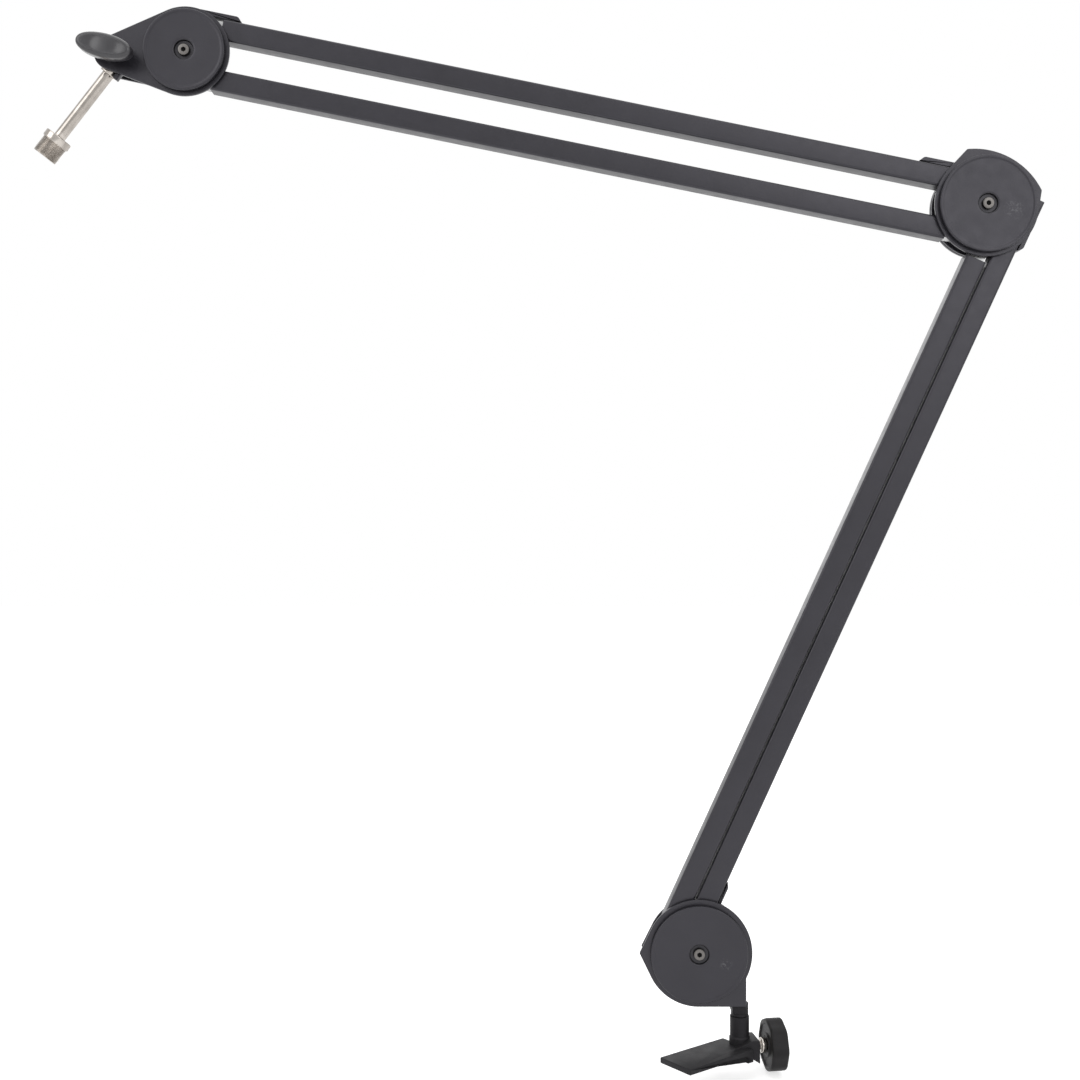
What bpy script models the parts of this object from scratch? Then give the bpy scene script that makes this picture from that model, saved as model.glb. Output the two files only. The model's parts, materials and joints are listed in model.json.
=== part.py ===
"""Desk-mounted microphone arm: two sprung parallelogram arms, a swivel foot and a tilting microphone stud.

The arm lies in the XZ plane and is seen from -Y. X runs to the right, Z up and Y away from the viewer.
The origin is where the swivel post's axis meets the underside of the foot plate.
"""
import math

import bmesh
import bpy
from mathutils import Matrix, Vector
from mathutils.geometry import convex_hull_2d

MM = 0.001

# Clearances
SEAT_GAP = 0.3 * MM
TUBE_SIDE_GAP = 0.5 * MM
RUNNING_GAP = 0.1 * MM

# Arms
TUBE_SIDE = 12.7 * MM
TUBE_WALL = 1.0 * MM
TUBE_CORNER = 1.6 * MM
LOWER_PIN_LENGTH = 470.0 * MM
UPPER_PIN_LENGTH = 470.0 * MM
TUBE_SETBACK = 8.0 * MM
LOWER_LEAN = math.radians(24.6)
UPPER_RISE = math.radians(11.5)
LOWER_TUBE_GAP = 1.0 * MM
LOWER_TUBE_SPACING = TUBE_SIDE + LOWER_TUBE_GAP
UPPER_TUBE_SPACING = 30.6 * MM
PIN_OFFSET_LENGTH = 30.9 * MM

# Housings: each pin is given from its joint's centre, as X and Z
BASE_CENTRE = (-25.7 * MM, 60.7 * MM)
BASE_PIN_LEFT = (-23.9 * MM, 0.0)
ELBOW_PIN_LOW = (-2.2 * MM, -25.1 * MM)
ELBOW_PIN_FRONT = (-16.1 * MM, -15.6 * MM)
HEAD_PIN_LOW = (7.8 * MM, -14.3 * MM)
CHEEK_THICKNESS = 2.0 * MM
CHEEK_RADIUS = 32.3 * MM
CHEEK_CORNER = 3.6 * MM
REAR_CHEEK_INSET = 2.3 * MM
BASE_CHEEK_RIGHT = 2.9 * MM
ELBOW_CHEEK_RADIUS = 31.5 * MM
ELBOW_CORNER_HIGH = (-11.9 * MM, 33.3 * MM)
ELBOW_CORNER_BACK = (33.1 * MM, 8.3 * MM)
ELBOW_BACK_RISE = 8.0 * MM
HEAD_CHEEK_RADIUS = 27.0 * MM
REAR_HEAD_CHEEK_RADIUS = 20.4 * MM
PIN_WALL = 2.8 * MM
NOSE_OFFSET = (-45.1 * MM, -1.1 * MM)
NOSE_RADIUS = 9.8 * MM

# Round covers
COVER_RADIUS = 29.2 * MM
HEAD_COVER_RADIUS = 24.6 * MM
REAR_HEAD_COVER_RADIUS = 18.5 * MM
COVER_HEIGHT = 3.4 * MM
COVER_EDGE = 0.8 * MM
COVER_DISH = 0.5 * MM
COVER_RECESS_RADIUS = 6.0 * MM
COVER_RECESS_FLOOR = 1.0 * MM

# Pins and bolts
PIN_RADIUS = 2.4 * MM
PIN_SHOULDER_RADIUS = 3.6 * MM
BOLT_RADIUS = 2.5 * MM
BOLT_HEAD_RADIUS = 3.5 * MM
BOLT_HEAD_HEIGHT = 1.8 * MM
HEX_SOCKET = 2.6 * MM
HEX_DEPTH = 1.3 * MM
NUT_FLATS = 8.0 * MM
NUT_HEIGHT = 2.0 * MM

# Tube ends and springs
PLUG_DEPTH = 22.0 * MM
PLUG_EASE = 0.25
SPRING_RADIUS = 4.2 * MM
SPRING_BORE_RADIUS = 2.8 * MM
SPRING_LENGTH = 210.0 * MM
SHOE_START = 9.0 * MM
SHOE_SLOPE = 3.0 * MM
# Each shoe: where it starts and ends from its pin, and how thick it is
BASE_SHOE = (SHOE_START, 28.0 * MM, 2.1 * MM)
ELBOW_LOWER_SHOE = (-13.0 * MM, 21.0 * MM, 3.3 * MM)
ELBOW_UPPER_SHOE = (SHOE_START, 32.0 * MM, 3.3 * MM)
HEAD_SHOE = (-8.0 * MM, 18.8 * MM, 3.3 * MM)

# Foot and post
FOOT_LENGTH = 54.0 * MM
FOOT_WIDTH = 25.5 * MM
FOOT_THICKNESS = 3.4 * MM
FOOT_TURN = math.radians(38.0)
LIP_FACE = 5.8 * MM
LIP_THICKNESS = 4.8 * MM
LIP_DROP = 4.2 * MM
SOCKET_RADIUS = 5.8 * MM
SOCKET_TOP = 20.5 * MM
POST_RADIUS = 5.3 * MM
SPIGOT_RADIUS = 4.3 * MM
POST_BAR_TOP = 52.0 * MM
LUG_LENGTH = 10.2 * MM
LUG_TAIL = 8.0 * MM
LUG_CREST = 5.0 * MM
LUG_FRONT = 9.4 * MM
LUG_REAR = 6.5 * MM
LUG_TOP = 7.5 * MM
LUG_DROP = 6.4 * MM
LUG_SOLE = 0.3 * MM

# Post lock
LOCK_SCREW_RADIUS = 3.0 * MM
LOCK_CLEARANCE = 0.7 * MM
LOCK_TURN = math.radians(8.0)
LOCK_HEIGHT = 1.6 * MM
LOCK_COLLAR_RADIUS = 4.6 * MM
LOCK_COLLAR = 3.0 * MM
LOCK_KNOB_RADIUS = 16.0 * MM
LOCK_KNOB_DEPTH = 10.5 * MM
LOCK_KNOB_DISTANCE = 16.4 * MM
LOCK_LOBES = 8
LOCK_LOBE_DEPTH = 0.7 * MM

# Microphone stud
STUD_ANGLE = math.radians(37.8)
ROD_OFFSET = 3.3 * MM
ROD_RADIUS = 3.6 * MM
ROD_END = 58.7 * MM
ROD_SEAT = 2.8 * MM
BLOCK_RADIUS = 6.6 * MM
BLOCK_REACH = 6.6 * MM
NUB_NEAR = 9.2 * MM
NUB_FAR = 12.2 * MM
NUB_REACH = 10.6 * MM
NUB_DEPTH = 4.0 * MM
ROOT_COLLAR_RADIUS = 5.4 * MM
ROOT_COLLAR_LENGTH = 3.7 * MM
STUD_FLANGE_RADIUS = 8.5 * MM
STUD_FLANGE = 4.5 * MM
STUD_THREAD_RADIUS = 7.94 * MM
STUD_THREAD = 10.6 * MM
WING_LENGTH = 33.8 * MM
WING_WIDTH = 14.4 * MM
WING_DEPTH = 8.3 * MM
WING_HUB_RADIUS = 5.6 * MM
WING_HUB_DEPTH = 6.5 * MM
WING_BOLT_RADIUS = 2.4 * MM
WING_TURN = math.radians(-13.0)

# Layers either side of the arm's middle plane, and two directions
LOCK_DIRECTION = (math.cos(LOCK_TURN), math.sin(LOCK_TURN), 0.0)
UP = (0.0, 0.0, 1.0)
CHEEK_INNER = TUBE_SIDE / 2 + TUBE_SIDE_GAP
CHEEK_OUTER = CHEEK_INNER + CHEEK_THICKNESS
COVER_BACK = CHEEK_OUTER + SEAT_GAP

# Facets of the round shapes
ROUND_STEPS = 20
PIN_STEPS = 16
COVER_STEPS = 36
THREAD_STEPS = 32
LOBE_STEPS = 4
HULL_STEPS = 36
FACET = math.radians(10)
CORNER_FACET = math.radians(23)
EDGE_FACET = math.radians(30)
SHARP_ANGLE = math.radians(32)
MERGE_DISTANCE = 0.001 * MM

COLOURS = {
    "black_paint": ((0.032, 0.032, 0.036), 0.5, 0.0),
    "black_plastic": ((0.028, 0.028, 0.031), 0.42, 0.0),
    "nickel": ((0.62, 0.60, 0.56), 0.25, 1.0),
    "zinc": ((0.52, 0.52, 0.53), 0.32, 1.0),
    "spring_steel": ((0.38, 0.38, 0.38), 0.35, 1.0),
}


def clear_scene():
    for old in list(bpy.data.objects):
        bpy.data.objects.remove(old, do_unlink=True)


def finish(name):
    """The Principled material of one finish, made once."""
    found = bpy.data.materials.get(name)
    if found:
        return found
    colour, roughness, metallic = COLOURS[name]
    made = bpy.data.materials.new(name)
    made.use_nodes = True
    shader = made.node_tree.nodes["Principled BSDF"]
    shader.inputs["Base Color"].default_value = (*colour, 1.0)
    shader.inputs["Roughness"].default_value = roughness
    shader.inputs["Metallic"].default_value = metallic
    return made


def pivot(name, x, z, turn=0.0):
    """An empty on a joint's axis, turned about Y so that its X runs along the piece it carries."""
    empty = bpy.data.objects.new(name, None)
    bpy.context.scene.collection.objects.link(empty)
    empty.location = (x, 0.0, z)
    empty.rotation_euler = (0.0, turn, 0.0)
    return empty


def piece(name, bm, material, parent):
    """One finished solid, hung from the empty on its joint's axis."""
    bmesh.ops.remove_doubles(bm, verts=bm.verts, dist=MERGE_DISTANCE)
    bmesh.ops.recalc_face_normals(bm, faces=bm.faces)
    mesh = bpy.data.meshes.new(name)
    bm.to_mesh(mesh)
    bm.free()
    mesh.shade_smooth()
    mesh.set_sharp_from_angle(angle=SHARP_ANGLE)
    mesh.materials.append(finish(material))
    made = bpy.data.objects.new(name, mesh)
    bpy.context.scene.collection.objects.link(made)
    made.parent = parent
    return made


def circle(cx, cz, radius, steps=ROUND_STEPS):
    """A round outline, anticlockwise in X and Z."""
    return [(cx + radius * math.cos(2 * math.pi * i / steps),
             cz + radius * math.sin(2 * math.pi * i / steps)) for i in range(steps)]


def arc(cx, cz, radius, start, end, facet=FACET):
    """Points along part of a circle, both ends included, at steps of no more than facet."""
    steps = math.ceil(abs(end - start) / facet)
    return [(cx + radius * math.cos(start + (end - start) * i / steps),
             cz + radius * math.sin(start + (end - start) * i / steps)) for i in range(steps + 1)]


def bulge(first, last, rise):
    """The arc from first to last that stands rise to the left of the straight line between them."""
    dx = last[0] - first[0]
    dz = last[1] - first[1]
    chord = math.hypot(dx, dz)
    radius = (chord * chord / 4 + rise * rise) / (2 * rise)
    nx = -dz / chord
    nz = dx / chord
    cx = (first[0] + last[0]) / 2 - nx * (radius - rise)
    cz = (first[1] + last[1]) / 2 - nz * (radius - rise)
    start = math.atan2(first[1] - cz, first[0] - cx)
    end = math.atan2(last[1] - cz, last[0] - cx)
    if end > start:
        end -= 2 * math.pi
    return arc(cx, cz, radius, start, end)


def slab(outline, holes, low, high):
    """An outline in X and Z, with holes, extruded along Y from low to high."""
    bm = bmesh.new()
    edges = []
    for loop in [outline, *holes]:
        verts = [bm.verts.new((x, low, z)) for x, z in loop]
        for i, vert in enumerate(verts):
            edges.append(bm.edges.new((vert, verts[(i + 1) % len(verts)])))
    bmesh.ops.triangle_fill(bm, use_beauty=True, edges=edges)
    made = bmesh.ops.extrude_face_region(bm, geom=list(bm.faces))
    moved = [item for item in made["geom"] if isinstance(item, bmesh.types.BMVert)]
    bmesh.ops.translate(bm, vec=(0.0, high - low, 0.0), verts=moved)
    return bm


def turned(profile, steps=ROUND_STEPS, closed=False):
    """A profile of radius and height turned round the Y axis, height running along +Y.

    An open profile starts and ends on the axis; a closed one is a ring.
    """
    bm = bmesh.new()
    verts = [bm.verts.new((radius, height, 0.0)) for radius, height in profile]
    edges = [bm.edges.new((a, b)) for a, b in zip(verts, verts[1:])]
    if closed:
        edges.append(bm.edges.new((verts[-1], verts[0])))
    bmesh.ops.spin(bm, geom=verts + edges, cent=(0, 0, 0), axis=(0, 1, 0), angle=2 * math.pi,
                   steps=steps, use_merge=True)
    return bm


def aimed(bm, origin, direction):
    """Moves a solid made round the Y axis so that +Y points along direction from origin."""
    turn = Vector((0, 1, 0)).rotation_difference(Vector(direction).normalized()).to_matrix().to_4x4()
    bmesh.ops.transform(bm, matrix=Matrix.Translation(Vector(origin)) @ turn, verts=bm.verts)
    return bm


def shifted(bm, x, z):
    bmesh.ops.translate(bm, vec=(x, 0.0, z), verts=bm.verts)
    return bm


def add(a, b):
    return (a[0] + b[0], a[1] + b[1])


def along(angle, length):
    """X and Z of a length laid off at an angle up from +X."""
    return (length * math.cos(angle), length * math.sin(angle))


# Directions of the arms, and the offsets between the two pins of each pair
LOWER_DIRECTION = math.pi / 2 - LOWER_LEAN
UPPER_DIRECTION = math.pi - UPPER_RISE
LOWER_PAIR = along(LOWER_DIRECTION - math.asin(LOWER_TUBE_SPACING / PIN_OFFSET_LENGTH), PIN_OFFSET_LENGTH)
UPPER_PAIR = along(UPPER_DIRECTION - math.pi / 2, UPPER_TUBE_SPACING)

LOWER_REACH = along(LOWER_DIRECTION, LOWER_PIN_LENGTH)
UPPER_REACH = along(UPPER_DIRECTION, UPPER_PIN_LENGTH)
BASE_LEFT = add(BASE_CENTRE, BASE_PIN_LEFT)
BASE_RIGHT = add(BASE_LEFT, LOWER_PAIR)
ELBOW_CENTRE = add(add(BASE_LEFT, LOWER_REACH), (-ELBOW_PIN_LOW[0], -ELBOW_PIN_LOW[1]))
ELBOW_FRONT_LOW = add(ELBOW_CENTRE, ELBOW_PIN_FRONT)
ELBOW_FRONT_HIGH = add(ELBOW_FRONT_LOW, UPPER_PAIR)
HEAD_CENTRE = add(add(ELBOW_FRONT_LOW, UPPER_REACH), (-HEAD_PIN_LOW[0], -HEAD_PIN_LOW[1]))
NOSE = add(HEAD_CENTRE, NOSE_OFFSET)


def cheek_pair(label, front, rear, holes, parent):
    """The front and rear side plates of a housing, each with its own outline and the same holes."""
    for side, outline, low in (("front", front, -CHEEK_OUTER), ("rear", rear, CHEEK_INNER)):
        bm = slab(outline, holes, low, low + CHEEK_THICKNESS)
        piece(f"{label}_cheek_{side}", bm, "black_paint", parent)


def pivot_pin(name, spot, parent):
    """A shouldered rivet pin between the cheeks: the tube's end turns on its middle."""
    shoulder = CHEEK_INNER - RUNNING_GAP
    end = CHEEK_OUTER - RUNNING_GAP
    step = shoulder - TUBE_SIDE_GAP
    profile = [(0.0, -end), (PIN_RADIUS - SEAT_GAP, -end), (PIN_RADIUS - SEAT_GAP, -shoulder),
               (PIN_SHOULDER_RADIUS, -shoulder), (PIN_SHOULDER_RADIUS, -step), (PIN_RADIUS, -step),
               (PIN_RADIUS, step), (PIN_SHOULDER_RADIUS, step), (PIN_SHOULDER_RADIUS, shoulder),
               (PIN_RADIUS - SEAT_GAP, shoulder), (PIN_RADIUS - SEAT_GAP, end), (0.0, end)]
    piece(name, shifted(turned(profile, PIN_STEPS), *spot), "nickel", parent)


def cover_pair(label, front, rear, parent):
    """The dished round covers outside the cheeks, with a sunk seat for the bolt's head or nut."""
    hole = BOLT_RADIUS + SEAT_GAP
    for side, facing, radius in (("front", -1, front), ("rear", 1, rear)):
        edge = arc(radius - COVER_EDGE, COVER_HEIGHT - COVER_EDGE, COVER_EDGE, 0.0, math.pi / 2, EDGE_FACET)
        profile = [(hole, 0.0), (radius, 0.0), *edge,
                   (COVER_RECESS_RADIUS + 2 * COVER_EDGE, COVER_HEIGHT - COVER_DISH),
                   (COVER_RECESS_RADIUS, COVER_HEIGHT - COVER_DISH - SEAT_GAP),
                   (COVER_RECESS_RADIUS, COVER_RECESS_FLOOR), (hole, COVER_RECESS_FLOOR)]
        bm = turned(profile, COVER_STEPS, closed=True)
        bm = aimed(bm, (0, facing * COVER_BACK, 0), (0, facing, 0))
        piece(f"{label}_cover_{side}", bm, "black_plastic", parent)


def centre_bolt(label, parent):
    """The socket bolt through both covers, and its nut sunk in the rear cover."""
    seat = COVER_BACK + COVER_RECESS_FLOOR + SEAT_GAP
    top = seat + BOLT_HEAD_HEIGHT
    end = seat + NUT_HEIGHT
    socket = HEX_SOCKET / 2
    profile = [(0.0, -top + HEX_DEPTH), (socket, -top + HEX_DEPTH), (socket, -top),
               (BOLT_HEAD_RADIUS, -top), (BOLT_HEAD_RADIUS, -seat), (BOLT_RADIUS, -seat),
               (BOLT_RADIUS, end), (0.0, end)]
    piece(f"{label}_bolt", turned(profile), "zinc", parent)
    flats = NUT_FLATS / math.sqrt(3)
    bore = circle(0, 0, BOLT_RADIUS + RUNNING_GAP)
    bm = slab(circle(0, 0, flats, 6), [bore], seat, seat + NUT_HEIGHT)
    piece(f"{label}_nut", bm, "zinc", parent)


def rounded_square(side, corner):
    """A square outline with round corners, about its centre."""
    reach = side / 2 - corner
    points = []
    corners = ((reach, reach, 0), (-reach, reach, 90), (-reach, -reach, 180), (reach, -reach, 270))
    for cx, cz, start in corners:
        points += arc(cx, cz, corner, math.radians(start), math.radians(start + 90), CORNER_FACET)
    return points


def square_tube(name, length, parent):
    """A hollow square tube along the pivot's X, set back from the pins at both ends."""
    outer = rounded_square(TUBE_SIDE, TUBE_CORNER)
    inner = rounded_square(TUBE_SIDE - 2 * TUBE_WALL, TUBE_CORNER - TUBE_WALL / 2)
    bm = slab(outer, [inner], 0.0, length - 2 * TUBE_SETBACK)
    turn = Matrix.Rotation(-math.pi / 2, 4, "Z")
    bmesh.ops.transform(bm, matrix=Matrix.Translation((TUBE_SETBACK, 0, 0)) @ turn, verts=bm.verts)
    piece(name, bm, "black_paint", parent)


def end_plug(name, pin_x, inward, parent):
    """A tube's end plug: its round nose turns on the pin, and its tail sits in the tube."""
    half = TUBE_SIDE / 2 - TUBE_WALL - SEAT_GAP
    bar = [(x * inward, z) for x, z in arc(0, 0, half, math.pi / 2, 3 * math.pi / 2)]
    bar += [(PLUG_DEPTH * inward, -half), (PLUG_DEPTH * inward, half)]
    hole = circle(0, 0, PIN_RADIUS + RUNNING_GAP)
    deep = half - PLUG_EASE * TUBE_CORNER
    bm = shifted(slab(bar, [hole], -deep, deep), pin_x, 0.0)
    piece(name, bm, "spring_steel", parent)


def spring(name, start, parent):
    """The balance spring inside a tube, as the sleeve that its closed coils fill."""
    profile = [(SPRING_BORE_RADIUS, 0.0), (SPRING_RADIUS, 0.0), (SPRING_RADIUS, SPRING_LENGTH),
               (SPRING_BORE_RADIUS, SPRING_LENGTH)]
    bm = aimed(turned(profile, PIN_STEPS, closed=True), (start, 0, 0), (1, 0, 0))
    piece(name, bm, "spring_steel", parent)


def end_shoe(name, pin_x, inward, shoe, parent):
    """The raised shoe on a tube's outer face, from inside the housing to a sloping free end."""
    start, end, thickness = shoe
    face = -TUBE_SIDE / 2 - SEAT_GAP
    top = face - thickness
    outline = [(pin_x + inward * start, face), (pin_x + inward * end, face),
               (pin_x + inward * (end - SHOE_SLOPE), top), (pin_x + inward * start, top)]
    half = TUBE_SIDE / 2 - TUBE_CORNER
    piece(name, slab(outline, [], -half, half), "black_paint", parent)


def build_tube_set(label, length, parent, shoes=()):
    """One tube with both plugs and its spring, and a shoe at each end where the tube is an outer one."""
    square_tube(f"{label}_tube", length, parent)
    end_plug(f"{label}_plug_near", 0.0, 1, parent)
    end_plug(f"{label}_plug_far", length, -1, parent)
    spring(f"{label}_spring", PLUG_DEPTH + SEAT_GAP, parent)
    if shoes:
        near, far = shoes
        end_shoe(f"{label}_shoe_near", 0.0, 1, near, parent)
        end_shoe(f"{label}_shoe_far", length, -1, far, parent)


def standing(outline, low, high):
    """An outline in X and Y, extruded up Z from low to high."""
    bm = slab(outline, [], -high, -low)
    bmesh.ops.transform(bm, matrix=Matrix.Rotation(-math.pi / 2, 4, "X"), verts=bm.verts)
    return bm


def helper(name, bm, parent):
    """A hidden solid that a Boolean reads."""
    made = piece(name, bm, "black_paint", parent)
    made.hide_render = True
    made.display_type = "WIRE"
    return made


def combine(target, tool, operation):
    step = target.modifiers.new(tool.name, "BOOLEAN")
    step.operation = operation
    step.object = tool
    step.solver = "EXACT"


def box_outline(x_low, x_high, y_low, y_high):
    return [(x_low, y_low), (x_high, y_low), (x_high, y_high), (x_low, y_high)]


def rod(radius, low, high, origin, direction):
    """A plain cylinder from low to high along a direction from an origin."""
    profile = [(0.0, low), (radius, low), (radius, high), (0.0, high)]
    return aimed(turned(profile), origin, direction)


def turned_outline(outline, angle):
    """An outline turned anticlockwise about the origin of its two coordinates."""
    c = math.cos(angle)
    s = math.sin(angle)
    return [(c * a - s * b, s * a + c * b) for a, b in outline]


def build_foot():
    """The foot: a plate on the desk, a lip over its edge, a lug for the lock and the post's socket."""
    origin = pivot("foot_origin", 0.0, 0.0)
    back = LIP_FACE - LIP_THICKNESS
    profile = [(back, -LIP_DROP), (LIP_FACE, -LIP_DROP), (LIP_FACE, 0.0), (FOOT_LENGTH, 0.0),
               (FOOT_LENGTH, FOOT_THICKNESS), (back, FOOT_THICKNESS)]
    bm = slab(profile, [], -FOOT_WIDTH / 2, FOOT_WIDTH / 2)
    bmesh.ops.transform(bm, matrix=Matrix.Rotation(math.pi + FOOT_TURN, 4, "Z"), verts=bm.verts)
    foot = piece("foot", bm, "black_paint", origin)
    wedge = [(-LUG_TAIL, LUG_SOLE), (0.0, LUG_SOLE), (LUG_LENGTH, -LUG_DROP), (LUG_LENGTH, LUG_TOP),
             (LUG_CREST, LUG_TOP), (-LUG_TAIL, FOOT_THICKNESS / 2)]
    lug = slab(wedge, [], -LUG_FRONT, LUG_REAR)
    bmesh.ops.transform(lug, matrix=Matrix.Rotation(LOCK_TURN, 4, "Z"), verts=lug.verts)
    combine(foot, helper("lug_solid", lug, origin), "UNION")
    socket = rod(SOCKET_RADIUS, FOOT_THICKNESS / 2, SOCKET_TOP, (0, 0, 0), UP)
    combine(foot, helper("socket_solid", socket, origin), "UNION")
    bore = rod(SPIGOT_RADIUS + SEAT_GAP, -2 * LUG_DROP, 2 * SOCKET_TOP, (0, 0, 0), UP)
    combine(foot, helper("socket_bore", bore, origin), "DIFFERENCE")
    lock_hole = rod(LOCK_SCREW_RADIUS + SEAT_GAP, SPIGOT_RADIUS / 2, 2 * LUG_LENGTH, (0, 0, LOCK_HEIGHT),
                    LOCK_DIRECTION)
    combine(foot, helper("lock_hole", lock_hole, origin), "DIFFERENCE")


def build_lock():
    """The knob-headed screw that holds the post against turning."""
    axis = pivot("lock_axis", 0.0, LOCK_HEIGHT)
    tip = SPIGOT_RADIUS + LOCK_CLEARANCE
    collar_face = LOCK_KNOB_DISTANCE - SEAT_GAP
    collar = collar_face - LOCK_COLLAR
    shank_end = LOCK_KNOB_DISTANCE + LOCK_KNOB_DEPTH / 2
    profile = [(0.0, tip), (LOCK_SCREW_RADIUS, tip), (LOCK_SCREW_RADIUS, collar),
               (LOCK_COLLAR_RADIUS, collar), (LOCK_COLLAR_RADIUS, collar_face),
               (LOCK_SCREW_RADIUS, collar_face), (LOCK_SCREW_RADIUS, shank_end), (0.0, shank_end)]
    piece("lock_screw", aimed(turned(profile), (0, 0, 0), LOCK_DIRECTION), "nickel", axis)
    steps = LOBE_STEPS * LOCK_LOBES
    outline = []
    for i in range(steps):
        angle = 2 * math.pi * i / steps
        radius = LOCK_KNOB_RADIUS - LOCK_LOBE_DEPTH * (1 - math.cos(LOCK_LOBES * angle)) / 2
        outline.append((radius * math.cos(angle), radius * math.sin(angle)))
    bm = slab(outline, [], LOCK_KNOB_DISTANCE, LOCK_KNOB_DISTANCE + LOCK_KNOB_DEPTH)
    knob = piece("lock_knob", aimed(bm, (0, 0, 0), LOCK_DIRECTION), "black_plastic", axis)
    bore = rod(LOCK_SCREW_RADIUS + SEAT_GAP, 0.0, shank_end + SEAT_GAP, (0, 0, 0), LOCK_DIRECTION)
    combine(knob, helper("knob_bore", bore, axis), "DIFFERENCE")


def base_outline(radius):
    """A round plate with a corner at its left and a straight side down its right to the post."""
    corner = math.acos(radius / (radius + CHEEK_CORNER))
    right = BASE_CHEEK_RIGHT - BASE_CENTRE[0]
    side = math.asin(right / radius)
    outline = arc(0, 0, radius, math.pi + corner, 3 * math.pi / 2)
    outline += [(right, -radius)]
    outline += arc(0, 0, radius, side - math.pi / 2, math.pi - corner)
    return outline + [(-radius - CHEEK_CORNER, 0.0)]


def build_base():
    """The lower housing: the post, two cheeks, the two lower pins, the bolt and the covers."""
    centre = pivot("base_centre", *BASE_CENTRE)
    right_pin = add(BASE_PIN_LEFT, LOWER_PAIR)
    holes = [circle(0, 0, BOLT_RADIUS + SEAT_GAP), circle(*BASE_PIN_LEFT, PIN_RADIUS),
             circle(*right_pin, PIN_RADIUS)]
    cheek_pair("base", base_outline(CHEEK_RADIUS), base_outline(CHEEK_RADIUS - REAR_CHEEK_INSET), holes,
               centre)
    pivot_pin("base_pin_left", BASE_PIN_LEFT, centre)
    pivot_pin("base_pin_right", right_pin, centre)
    cover_pair("base", COVER_RADIUS, COVER_RADIUS, centre)
    centre_bolt("base", centre)
    origin = pivot("post_axis", 0.0, 0.0)
    bar_low = BASE_CENTRE[1] - CHEEK_RADIUS - POST_RADIUS
    low = -LUG_DROP + SEAT_GAP
    shoulder = SOCKET_TOP + SEAT_GAP
    profile = [(0.0, low), (SPIGOT_RADIUS, low), (SPIGOT_RADIUS, shoulder), (POST_RADIUS, shoulder),
               (POST_RADIUS, bar_low + POST_RADIUS), (0.0, bar_low + POST_RADIUS)]
    post = piece("swivel_post", aimed(turned(profile), (0, 0, 0), UP), "black_paint", origin)
    deep = CHEEK_INNER - SEAT_GAP
    bar = standing(box_outline(-POST_RADIUS, BASE_CHEEK_RIGHT, -deep, deep), bar_low, POST_BAR_TOP)
    combine(post, helper("post_bar", bar, origin), "UNION")


def elbow_outline(radius):
    """A round plate with two corners and a bulging edge between them, drawn in with its radius."""
    drawn = radius / ELBOW_CHEEK_RADIUS
    high = (ELBOW_CORNER_HIGH[0] * drawn, ELBOW_CORNER_HIGH[1] * drawn)
    back = (ELBOW_CORNER_BACK[0] * drawn, ELBOW_CORNER_BACK[1] * drawn)
    start = math.atan2(high[1], high[0]) + math.acos(radius / math.hypot(*high))
    end = math.atan2(back[1], back[0]) - math.acos(radius / math.hypot(*back)) + 2 * math.pi
    outline = arc(0, 0, radius, start, end)
    return outline + list(reversed(bulge(high, back, ELBOW_BACK_RISE * drawn)))


def build_elbow():
    """The elbow housing: two cheeks with a curved back edge, four pins, the bolt and the covers."""
    centre = pivot("elbow_centre", *ELBOW_CENTRE)
    low_left = ELBOW_PIN_LOW
    low_right = add(low_left, LOWER_PAIR)
    front_low = ELBOW_PIN_FRONT
    front_high = add(front_low, UPPER_PAIR)
    spots = {"elbow_pin_lower_left": low_left, "elbow_pin_lower_right": low_right,
             "elbow_pin_upper_bottom": front_low, "elbow_pin_upper_top": front_high}
    holes = [circle(0, 0, BOLT_RADIUS + SEAT_GAP)]
    holes += [circle(*spot, PIN_RADIUS) for spot in spots.values()]
    front = elbow_outline(ELBOW_CHEEK_RADIUS)
    cheek_pair("elbow", front, elbow_outline(ELBOW_CHEEK_RADIUS - REAR_CHEEK_INSET), holes, centre)
    for name, spot in spots.items():
        pivot_pin(name, spot, centre)
    cover_pair("elbow", COVER_RADIUS, COVER_RADIUS, centre)
    centre_bolt("elbow", centre)


def hull(*rounds):
    """The outline stretched round several circles, each given as its centre and radius."""
    points = []
    for spot, radius in rounds:
        points += circle(*spot, radius, HULL_STEPS)
    return [points[i] for i in convex_hull_2d(points)]


def build_head():
    """The head housing: two teardrop cheeks, two pins, the bolt, the covers and the nose hole."""
    centre = pivot("head_centre", *HEAD_CENTRE)
    pin_high = add(HEAD_PIN_LOW, UPPER_PAIR)
    nose = (NOSE_OFFSET, NOSE_RADIUS)
    middle = (0.0, 0.0)
    front = hull((middle, HEAD_CHEEK_RADIUS), nose)
    rear = hull((middle, REAR_HEAD_CHEEK_RADIUS), nose, (pin_high, PIN_RADIUS + PIN_WALL))
    holes = [circle(0, 0, BOLT_RADIUS + SEAT_GAP), circle(*HEAD_PIN_LOW, PIN_RADIUS),
             circle(*pin_high, PIN_RADIUS), circle(*NOSE_OFFSET, WING_BOLT_RADIUS + SEAT_GAP)]
    cheek_pair("head", front, rear, holes, centre)
    pivot_pin("head_pin_bottom", HEAD_PIN_LOW, centre)
    pivot_pin("head_pin_top", pin_high, centre)
    cover_pair("head", HEAD_COVER_RADIUS, REAR_HEAD_COVER_RADIUS, centre)
    centre_bolt("head", centre)


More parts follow.
